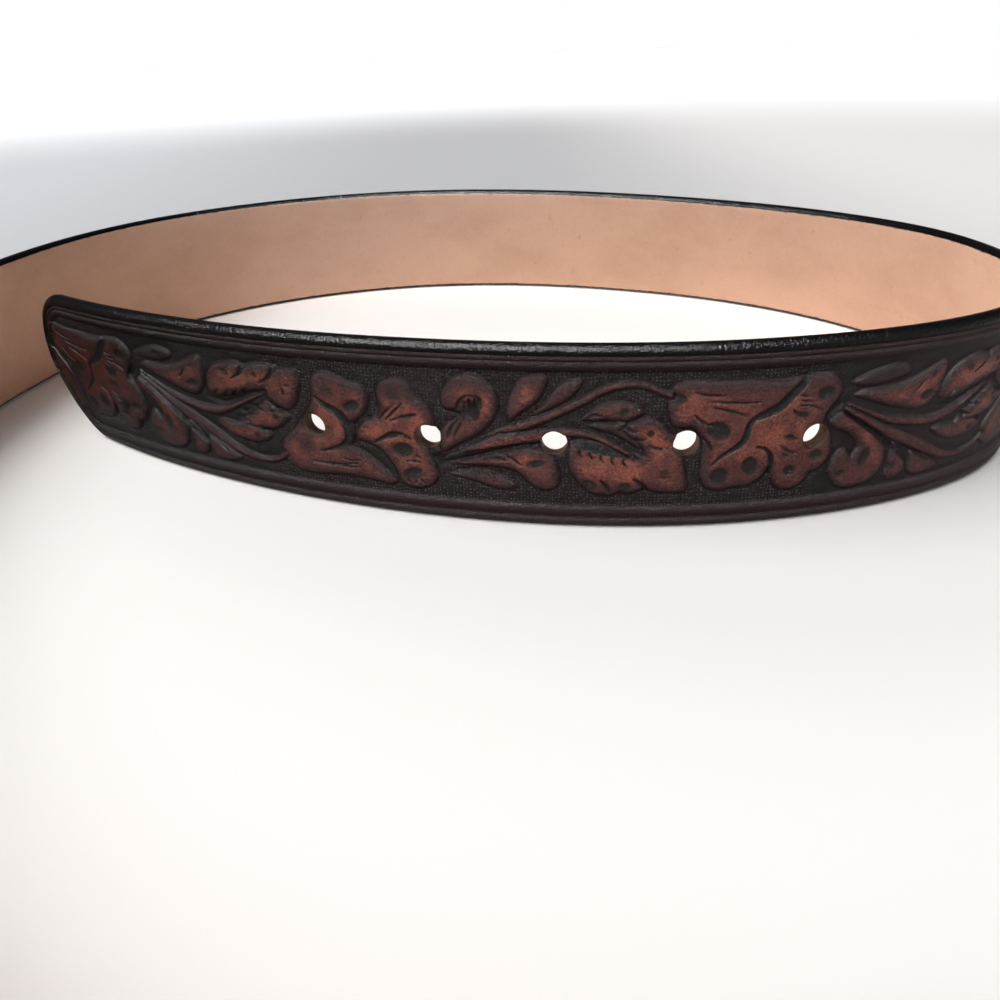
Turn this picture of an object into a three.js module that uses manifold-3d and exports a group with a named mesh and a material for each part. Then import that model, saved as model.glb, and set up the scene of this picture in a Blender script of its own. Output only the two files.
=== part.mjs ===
// A carved leather belt standing on its edge in an open loop, tip at the front left.
// Millimetres, +Z up, origin on the surface under the middle of the loop.
// +X runs to the right along the front of the loop and +Y runs to its back.
// The strap is described in its own terms: along is the distance from the tip, deep goes in from
// the outer (carved) face, and high goes up from the lower edge. place() turns these into the loop.

import * as THREE from 'three';
import { mergeVertices } from 'three/addons/utils/BufferGeometryUtils.js';
import Module from 'manifold-3d';

// Strap
const WIDTH = 38.1;
const THICKNESS = 3.6;
const EDGE_RADIUS = 1.2;
const TIP_LENGTH = 17;
const TIP_NOSE = 4;
const TIP_START = [-108.25, 33.86];
const LONG_STEP = 7;

// The loop's plan: heading of the outer face in degrees from +X, and how far the strap's top
// leans in towards the middle of the loop, in degrees, at distances from the tip.
const ROUTE = [
  { along: 0, heading: -43.5, lean: -3 },
  { along: 40, heading: -32, lean: -1.5 },
  { along: 80, heading: -23.5, lean: 0 },
  { along: 130, heading: -12, lean: 2 },
  { along: 180, heading: 4, lean: 1.5 },
  { along: 230, heading: 26, lean: 0.5 },
  { along: 262, heading: 56.5, lean: 3 },
  { along: 300, heading: 84, lean: 10.5 },
  { along: 350, heading: 120.5, lean: 15 },
  { along: 410, heading: 146.5, lean: 14.5 },
  { along: 480, heading: 166, lean: 9 },
  { along: 550, heading: 193, lean: 2.5 },
  { along: 610, heading: 219, lean: 1 },
  { along: 660, heading: 247, lean: 3 },
  { along: 710, heading: 265, lean: 7 },
  { along: 770, heading: 279, lean: 1.5 },
  { along: 830, heading: 296, lean: 0 },
  { along: 890, heading: 317.5, lean: 0 },
  { along: 945, heading: 341, lean: 0 },
  { along: 980, heading: 355.5, lean: 0 },
  { along: 1000, heading: 360, lean: 0 },
  { along: 1060, heading: 360, lean: 0 },
];

// Holes: one inch apart, a little under the middle of the strap
const HOLE_COUNT = 5;
const HOLE_SPACING = 25.4;
const HOLE_DIAMETER = 5.2;
const HOLE_HIGH = 18.4;
const FIRST_HOLE = 90.5;
const HOLE_SIDES = 16;

// Buckle end: the waist size runs from the middle hole to the buckle's bar
const WAIST_SIZE = 914.4;
const GAP = 0.3;
const FOLD_THICKNESS = 2.4;
const SKIVE_LENGTH = 20;
const LEAF_LENGTH = 48;
const LEAF_CLOSING_ANGLE = 14;
const LEAF_CLOSING_RADIUS = 20;
const SLOT_WIDTH = 6;
const SLOT_BEHIND_BAR = 12;

// Buckle
const BUCKLE_HEIGHT = 46.7;
const BUCKLE_LENGTH = 36;
const BUCKLE_RIM = 4;
const BUCKLE_THICKNESS = 3.6;
const BUCKLE_CORNER = 5;
const WINDOW_CORNER = 0.8;
const BUCKLE_BEVEL = 0.8;
const PRONG_WIDTH = 3.4;
const PRONG_THICKNESS = 2.6;
const PRONG_OVERHANG = 1.2;

// Keeper loop
const KEEPER_LENGTH = 14;
const KEEPER_LEATHER = 2;
const KEEPER_SLACK = 5.2;
const KEEPER_UNDER = 1;
const KEEPER_CORNER = 1.6;
const KEEPER_BEHIND_BAR = 31;

// Fold posts
const POST_RADIUS = 2;
const POST_HEAD_RADIUS = 4;
const POST_HEAD_HEIGHT = 1.2;
const POST_SIDES = 16;
const POSTS_BEHIND_BAR = { fold_post_a: 19, fold_post_b: 43 };

// Rise of the buckle end, so that the taller buckle rests on the surface with the strap's edge
const RISE = (BUCKLE_HEIGHT - WIDTH) / 2;
const RISE_FROM = 850;
const RISE_TO = 1000;

const BAR_ALONG = FIRST_HOLE + HOLE_SPACING * (HOLE_COUNT - 1) / 2 + WAIST_SIZE;
const FOLD_RADIUS = BUCKLE_RIM / 2 + GAP * 2 + FOLD_THICKNESS;
const LEAF_DEEP = THICKNESS + GAP + FOLD_THICKNESS;

const wasm = await Module();
wasm.setup();

// Smooth value of one column of the route table
function fromRoute(column, along) {
  const last = ROUTE.length - 1;
  let i = 0;
  while (i < last - 1 && along >= ROUTE[i + 1].along) i += 1;
  const slope = (k) => {
    const a = ROUTE[Math.max(k - 1, 0)];
    const b = ROUTE[Math.min(k + 1, last)];
    return (b[column] - a[column]) / (b.along - a.along);
  };
  const [from, to] = [ROUTE[i], ROUTE[i + 1]];
  const span = to.along - from.along;
  const t = (along - from.along) / span;
  const start = (1 + 2 * t) * (1 - t) ** 2 * from[column] + t * (1 - t) ** 2 * span * slope(i);
  const end = t * t * (3 - 2 * t) * to[column] + t * t * (t - 1) * span * slope(i + 1);
  return start + end;
}

// The fold round the bar, as stretches of the outer face: a turn of over half a circle, a straight
// that closes on the strap, a turn back, and the leaf that lies along the strap.
function foldStretches() {
  const closing = THREE.MathUtils.degToRad(LEAF_CLOSING_ANGLE);
  const drop = 2 * FOLD_RADIUS - LEAF_DEEP;
  const bends = (FOLD_RADIUS + LEAF_CLOSING_RADIUS) * (1 - Math.cos(closing));
  return [
    { length: FOLD_RADIUS * (Math.PI + closing), turn: 180 + LEAF_CLOSING_ANGLE },
    { length: (drop - bends) / Math.sin(closing), turn: 0 },
    { length: LEAF_CLOSING_RADIUS * closing, turn: -LEAF_CLOSING_ANGLE },
    { length: LEAF_LENGTH - SKIVE_LENGTH, turn: 0 },
  ];
}

const FOLD = foldStretches();
const STRAP_END = BAR_ALONG + FOLD.reduce((sum, stretch) => sum + stretch.length, 0);

function headingAt(along) {
  let heading = fromRoute('heading', Math.min(along, BAR_ALONG));
  let left = along - BAR_ALONG;
  for (const stretch of FOLD) {
    if (left <= 0) break;
    heading += stretch.turn * Math.min(left / stretch.length, 1);
    left -= stretch.length;
  }
  return THREE.MathUtils.degToRad(heading);
}

// The outer face's plan, summed in short steps from the tip
const PLAN_STEP = 0.25;
const PLAN = [new THREE.Vector2(...TIP_START)];
for (let along = 0; along < STRAP_END; along += PLAN_STEP) {
  const heading = headingAt(along + PLAN_STEP / 2);
  const ahead = new THREE.Vector2(Math.cos(heading), Math.sin(heading)).multiplyScalar(PLAN_STEP);
  PLAN.push(PLAN[PLAN.length - 1].clone().add(ahead));
}

function planAt(along) {
  const step = Math.min(along / PLAN_STEP, PLAN.length - 1.001);
  const before = Math.floor(step);
  return PLAN[before].clone().lerp(PLAN[before + 1], step - before);
}

function thicknessAt(along) {
  const skived = (along - BAR_ALONG + SKIVE_LENGTH) / (SKIVE_LENGTH * 0.8);
  return THREE.MathUtils.lerp(THICKNESS, FOLD_THICKNESS, THREE.MathUtils.clamp(skived, 0, 1));
}

function riseAt(along) {
  return RISE * THREE.MathUtils.smoothstep(along, RISE_FROM, RISE_TO);
}

// A point of the strap in the loop. A leaning strap turns about the lower corner that it rests on.
function place(along, deep, high) {
  const heading = headingAt(along);
  const lean = THREE.MathUtils.degToRad(fromRoute('lean', Math.min(along, BAR_ALONG)));
  const corner = lean > 0 ? thicknessAt(along) : 0;
  const inward = corner + (deep - corner) * Math.cos(lean) + high * Math.sin(lean);
  const up = high * Math.cos(lean) - (deep - corner) * Math.sin(lean) + riseAt(along);
  const face = planAt(along);
  return new THREE.Vector3(face.x - Math.sin(heading) * inward, face.y + Math.cos(heading) * inward, up);
}

// Half the strap's width: a rounded point at the tip, full width after it
function halfWidth(along) {
  const left = Math.max(1 - along / TIP_LENGTH, 0);
  return Math.max(WIDTH / 2 * (1 - left ** 1.8) ** 0.62, TIP_NOSE / 2);
}

function stations() {
  const list = [];
  const tipSteps = 10;
  for (let k = 0; k < tipSteps; k += 1) list.push(TIP_LENGTH * (k / tipSteps) ** 1.7);
  const runEnd = BAR_ALONG - SKIVE_LENGTH;
  const runSteps = Math.ceil((runEnd - TIP_LENGTH) / LONG_STEP);
  for (let k = 0; k < runSteps; k += 1) list.push(TIP_LENGTH + (runEnd - TIP_LENGTH) * k / runSteps);
  const foldSteps = [{ from: runEnd, to: BAR_ALONG, steps: 4 }];
  let from = BAR_ALONG;
  for (const [k, stretch] of FOLD.entries()) {
    foldSteps.push({ from, to: from + stretch.length, steps: [14, 3, 3, 5][k] });
    from += stretch.length;
  }
  for (const part of foldSteps) {
    for (let k = 0; k < part.steps; k += 1) list.push(part.from + (part.to - part.from) * k / part.steps);
  }
  list.push(STRAP_END);
  return list;
}

// A rectangle with rounded corners, centred, in a shape's own plane
function roundedRectangle(width, height, radius, target = new THREE.Shape()) {
  const [x, y] = [width / 2, height / 2];
  target.moveTo(-x + radius, -y);
  target.lineTo(x - radius, -y);
  target.absarc(x - radius, -y + radius, radius, -Math.PI / 2, 0, false);
  target.lineTo(x, y - radius);
  target.absarc(x - radius, y - radius, radius, 0, Math.PI / 2, false);
  target.lineTo(-x + radius, y);
  target.absarc(-x + radius, y - radius, radius, Math.PI / 2, Math.PI, false);
  target.lineTo(-x, -y + radius);
  target.absarc(-x + radius, -y + radius, radius, Math.PI, Math.PI * 1.5, false);
  return target;
}

function toSolid(geometry) {
  const bare = geometry.clone();
  bare.deleteAttribute('normal');
  bare.deleteAttribute('uv');
  const merged = mergeVertices(bare, 1e-4);
  const mesh = new wasm.Mesh({
    numProp: 3,
    vertProperties: new Float32Array(merged.attributes.position.array),
    triVerts: new Uint32Array(merged.index.array),
  });
  mesh.merge();
  return new wasm.Manifold(mesh);
}

function toGeometry(solid) {
  const mesh = solid.getMesh();
  const geometry = new THREE.BufferGeometry();
  geometry.setAttribute('position', new THREE.BufferAttribute(mesh.vertProperties, 3));
  geometry.setIndex(new THREE.BufferAttribute(mesh.triVerts, 1));
  geometry.computeVertexNormals();
  return geometry;
}

function named(name, geometry, color, roughness, metalness) {
  const mesh = new THREE.Mesh(geometry, new THREE.MeshStandardMaterial({ color, roughness, metalness }));
  mesh.name = name;
  return mesh;
}

// A bar through the strap, square to its face, as a tool to cut with
function crossBar(along, high, radius, sides) {
  const bar = new THREE.CylinderGeometry(radius, radius, THICKNESS * 6, sides);
  const from = place(along, 0, high);
  const inward = place(along, 1, high).sub(from).normalize();
  bar.applyQuaternion(new THREE.Quaternion().setFromUnitVectors(new THREE.Vector3(0, 1, 0), inward));
  bar.translate(from.x, from.y, from.z);
  return toSolid(bar);
}

// Where the bar is: straight above the surface, half a fold in from the outer face
const BAR = place(BAR_ALONG, FOLD_RADIUS, WIDTH / 2);

// The prong's slot runs from behind the bar out through the fold, cut through both layers
function prongSlot() {
  const front = FOLD_RADIUS * 2;
  const outline = new THREE.Shape();
  outline.moveTo(-SLOT_BEHIND_BAR + SLOT_WIDTH / 2, -SLOT_WIDTH / 2);
  outline.lineTo(front, -SLOT_WIDTH / 2);
  outline.lineTo(front, SLOT_WIDTH / 2);
  outline.lineTo(-SLOT_BEHIND_BAR + SLOT_WIDTH / 2, SLOT_WIDTH / 2);
  outline.absarc(-SLOT_BEHIND_BAR + SLOT_WIDTH / 2, 0, SLOT_WIDTH / 2, Math.PI / 2, Math.PI * 1.5, false);
  const slot = new THREE.ExtrudeGeometry(outline, { depth: front * 2, bevelEnabled: false, curveSegments: 5 });
  slot.translate(0, 0, -front);
  slot.rotateX(Math.PI / 2);
  slot.translate(BAR.x, BAR.y, BAR.z);
  return toSolid(slot);
}

function strap() {
  const along = stations();
  const section = roundedRectangle(THICKNESS, WIDTH, EDGE_RADIUS);
  const count = along.length - 1;
  const blank = new THREE.ExtrudeGeometry(section, {
    depth: count, steps: count, bevelEnabled: false, curveSegments: 1,
  });
  const point = blank.attributes.position;
  for (let k = 0; k < point.count; k += 1) {
    const at = along[Math.round(point.getZ(k))];
    const side = Math.sign(point.getY(k));
    const fromEdge = WIDTH / 2 - Math.abs(point.getY(k));
    const high = WIDTH / 2 + side * (halfWidth(at) - fromEdge);
    const deep = (point.getX(k) + THICKNESS / 2) * thicknessAt(at) / THICKNESS;
    point.setXYZ(k, ...place(at, deep, high));
  }
  let solid = toSolid(blank);
  if (solid.volume() < 0) throw new Error('the strap is inside out');
  for (let k = 0; k < HOLE_COUNT; k += 1) {
    solid = solid.subtract(crossBar(FIRST_HOLE + HOLE_SPACING * k, HOLE_HIGH, HOLE_DIAMETER / 2, HOLE_SIDES));
  }
  for (const behind of Object.values(POSTS_BEHIND_BAR)) {
    solid = solid.subtract(crossBar(BAR_ALONG - behind, WIDTH / 2, POST_RADIUS + GAP, POST_SIDES));
  }
  solid = solid.subtract(prongSlot());
  return named('strap', toGeometry(solid), 0x4a2620, 0.5, 0);
}

// The frame lies in the X-Z plane with its heel bar at the fold
function buckle() {
  const outline = roundedRectangle(BUCKLE_LENGTH, BUCKLE_HEIGHT, BUCKLE_CORNER);
  const window = roundedRectangle(
    BUCKLE_LENGTH - 2 * BUCKLE_RIM, BUCKLE_HEIGHT - 2 * BUCKLE_RIM, WINDOW_CORNER, new THREE.Path(),
  );
  outline.holes.push(window);
  const frame = new THREE.ExtrudeGeometry(outline, {
    depth: BUCKLE_THICKNESS - 2 * BUCKLE_BEVEL,
    bevelThickness: BUCKLE_BEVEL,
    bevelSize: BUCKLE_BEVEL,
    bevelOffset: -BUCKLE_BEVEL,
    bevelSegments: 2,
    curveSegments: 3,
  });
  frame.translate(BUCKLE_LENGTH / 2 - BUCKLE_RIM / 2, 0, -BUCKLE_THICKNESS / 2 + BUCKLE_BEVEL);
  frame.rotateX(Math.PI / 2);

  // The prong starts at the bar, crosses the window and lies over the far side of the frame
  const reach = BUCKLE_LENGTH - BUCKLE_RIM / 2 + PRONG_OVERHANG;
  const over = BUCKLE_THICKNESS / 2 + GAP;
  const side = new THREE.Shape();
  side.moveTo(0, -PRONG_THICKNESS / 2);
  side.lineTo(6, -PRONG_THICKNESS / 2);
  side.quadraticCurveTo(reach * 0.55, over * 0.6, reach * 0.8, over);
  side.lineTo(reach, over);
  side.quadraticCurveTo(reach + 0.8, over + PRONG_THICKNESS * 0.5, reach - 1, over + PRONG_THICKNESS * 0.85);
  side.lineTo(reach * 0.8, over + PRONG_THICKNESS);
  side.quadraticCurveTo(reach * 0.5, over * 0.6 + PRONG_THICKNESS, 6, PRONG_THICKNESS / 2);
  side.lineTo(0, PRONG_THICKNESS / 2);
  const prong = new THREE.ExtrudeGeometry(side, { depth: PRONG_WIDTH, bevelEnabled: false, curveSegments: 4 });
  prong.translate(0, 0, -PRONG_WIDTH / 2);
  prong.scale(1, -1, -1);

  const whole = toSolid(frame).add(toSolid(prong));
  const mesh = named('buckle', toGeometry(whole), 0xa8a49c, 0.35, 1);
  mesh.position.copy(BAR);
  return mesh;
}

// A flat band of leather round the strap and its folded leaf, with room for the free end in front
function keeperLoop() {
  const deepInside = KEEPER_SLACK + GAP + LEAF_DEEP + GAP;
  const highInside = GAP + WIDTH + KEEPER_UNDER;
  const outline = roundedRectangle(
    deepInside + 2 * KEEPER_LEATHER, highInside + 2 * KEEPER_LEATHER, KEEPER_CORNER + KEEPER_LEATHER,
  );
  outline.holes.push(roundedRectangle(deepInside, highInside, KEEPER_CORNER, new THREE.Path()));
  const band = new THREE.ExtrudeGeometry(outline, { depth: KEEPER_LENGTH, bevelEnabled: false, curveSegments: 4 });
  band.translate(0, 0, -KEEPER_LENGTH / 2);
  band.rotateX(Math.PI / 2);
  band.rotateZ(Math.PI / 2);
  const centreDeep = (LEAF_DEEP + GAP - KEEPER_SLACK - GAP) / 2;
  const centreHigh = (WIDTH + GAP - KEEPER_UNDER) / 2;
  const mesh = named('keeper_loop', toGeometry(toSolid(band)), 0x2b1a18, 0.5, 0);
  mesh.position.copy(place(BAR_ALONG - KEEPER_BEHIND_BAR, centreDeep, centreHigh));
  return mesh;
}

// A shank through both layers with a low domed head on each face
function foldPost(name, behind) {
  const layers = thicknessAt(BAR_ALONG - behind);
  const inner = LEAF_DEEP + GAP;
  const outer = -GAP;
  const profile = [
    new THREE.Vector2(0, outer - POST_HEAD_HEIGHT),
    new THREE.Vector2(POST_HEAD_RADIUS * 0.65, outer - POST_HEAD_HEIGHT * 0.8),
    new THREE.Vector2(POST_HEAD_RADIUS, outer - POST_HEAD_HEIGHT * 0.3),
    new THREE.Vector2(POST_HEAD_RADIUS, outer),
    new THREE.Vector2(POST_RADIUS, outer),
    new THREE.Vector2(POST_RADIUS, inner),
    new THREE.Vector2(POST_HEAD_RADIUS, inner),
    new THREE.Vector2(POST_HEAD_RADIUS, inner + POST_HEAD_HEIGHT * 0.3),
    new THREE.Vector2(POST_HEAD_RADIUS * 0.65, inner + POST_HEAD_HEIGHT * 0.8),
    new THREE.Vector2(0, inner + POST_HEAD_HEIGHT),
  ];
  if (layers + GAP + FOLD_THICKNESS > inner) throw new Error('the posts are too short');
  const mesh = named(name, toGeometry(toSolid(new THREE.LatheGeometry(profile, POST_SIDES))), 0xa8a49c, 0.35, 1);
  mesh.position.copy(place(BAR_ALONG - behind, 0, WIDTH / 2));
  return mesh;
}

const belt = new THREE.Group();
belt.add(strap());
belt.add(keeperLoop());
belt.add(buckle());
for (const [name, behind] of Object.entries(POSTS_BEHIND_BAR)) belt.add(foldPost(name, behind));

export default belt;
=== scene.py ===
"""A carved leather belt that stands on its edge in an open loop, tip at the front left.

The strap is modelled flat first, in its own terms and in millimetres: along is the distance from the tip,
deep goes in from the outer, carved face, and high goes up from the lower edge. bend() turns it into the loop.
"""

import math

import bmesh
import bpy
import numpy as np
from mathutils import Matrix, Vector


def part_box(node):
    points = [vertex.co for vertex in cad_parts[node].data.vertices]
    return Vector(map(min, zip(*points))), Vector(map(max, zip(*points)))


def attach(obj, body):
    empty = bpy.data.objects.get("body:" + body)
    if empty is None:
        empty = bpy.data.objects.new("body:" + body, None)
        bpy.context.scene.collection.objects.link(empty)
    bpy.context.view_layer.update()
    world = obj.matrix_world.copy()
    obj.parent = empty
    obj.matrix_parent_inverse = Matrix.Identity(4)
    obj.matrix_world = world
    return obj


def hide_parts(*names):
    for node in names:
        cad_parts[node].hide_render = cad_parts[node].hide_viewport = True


MM = 0.001

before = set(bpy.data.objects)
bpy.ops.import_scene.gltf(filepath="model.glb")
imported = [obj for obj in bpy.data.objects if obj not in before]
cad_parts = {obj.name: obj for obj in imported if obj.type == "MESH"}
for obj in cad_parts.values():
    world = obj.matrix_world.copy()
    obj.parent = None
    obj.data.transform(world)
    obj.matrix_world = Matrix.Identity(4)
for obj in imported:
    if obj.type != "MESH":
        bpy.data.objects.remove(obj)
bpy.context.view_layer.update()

# The strap's sizes, in millimetres
WIDTH = 38.1
THICKNESS = 3.6
TIP_LENGTH = 17
TIP_NOSE = 4
TIP_START = (-108.25, 33.86)
FOLD_THICKNESS = 2.4
SKIVE_LENGTH = 20
HOLE_COUNT = 5
HOLE_SPACING = 25.4
HOLE_DIAMETER = 5.2
HOLE_HIGH = 18.4
FIRST_HOLE = 90.5
WAIST_SIZE = 914.4
BAR_ALONG = FIRST_HOLE + HOLE_SPACING * (HOLE_COUNT - 1) / 2 + WAIST_SIZE
ROLL = 1.7

# Heading of the outer face from +X and lean of the top into the loop, in degrees, by distance from the tip
ROUTE = [
    {"along": 0, "heading": -43.5, "lean": -3},
    {"along": 40, "heading": -32, "lean": -1.5},
    {"along": 80, "heading": -23.5, "lean": 0},
    {"along": 130, "heading": -12, "lean": 2},
    {"along": 180, "heading": 4, "lean": 1.5},
    {"along": 230, "heading": 26, "lean": 0.5},
    {"along": 262, "heading": 56.5, "lean": 3},
    {"along": 300, "heading": 84, "lean": 10.5},
    {"along": 350, "heading": 120.5, "lean": 15},
    {"along": 410, "heading": 146.5, "lean": 14.5},
    {"along": 480, "heading": 166, "lean": 9},
    {"along": 550, "heading": 193, "lean": 2.5},
    {"along": 610, "heading": 219, "lean": 1},
    {"along": 660, "heading": 247, "lean": 3},
    {"along": 710, "heading": 265, "lean": 7},
    {"along": 770, "heading": 279, "lean": 1.5},
    {"along": 830, "heading": 296, "lean": 0},
    {"along": 890, "heading": 317.5, "lean": 0},
    {"along": 945, "heading": 341, "lean": 0},
    {"along": 980, "heading": 355.5, "lean": 0},
    {"along": 1000, "heading": 360, "lean": 0},
    {"along": 1060, "heading": 360, "lean": 0},
]

# The buckle end's sizes, in millimetres
GAP = 0.3
BUCKLE_HEIGHT = 46.7
BUCKLE_LENGTH = 36
BUCKLE_RIM = 4
BUCKLE_THICKNESS = 3.6
BUCKLE_CORNER = 5
LEAF_LENGTH = 48
LEAF_CLOSING_ANGLE = 14
LEAF_CLOSING_RADIUS = 20
SLOT_WIDTH = 6
SLOT_BEHIND_BAR = 12
PRONG_WIDTH = 3.4
PRONG_THICKNESS = 2.6
PRONG_OVERHANG = 1.2
SLEEVE_RADIUS = 3.1
KEEPER_LEATHER = 2
KEEPER_CORNER = 3.6
POST_RADIUS = 2
POST_HEAD_RADIUS = 4
POST_HEAD_HEIGHT = 1.2
POST_HOLE_RADIUS = 2.3
POSTS_BEHIND_BAR = {"fold_post_a": 19, "fold_post_b": 43}
FOLD_RADIUS = BUCKLE_RIM / 2 + GAP * 2 + FOLD_THICKNESS
LEAF_DEEP = THICKNESS + GAP + FOLD_THICKNESS
RISE = (BUCKLE_HEIGHT - WIDTH) / 2
RISE_FROM = 850
RISE_TO = 1000
PLAN_STEP = 0.25

# The carving: a pattern that repeats along the strap, charted with its zero a little ahead of the tip
PATTERN_LENGTH = 155
PATTERN_LEAD = 3
FIRST_REPEAT = -1
LAST_REPEAT = 6
FIELD_END = BAR_ALONG - 55
FIELD_INSET = 4.95
GROUND_DEPTH = 0.7

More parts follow.
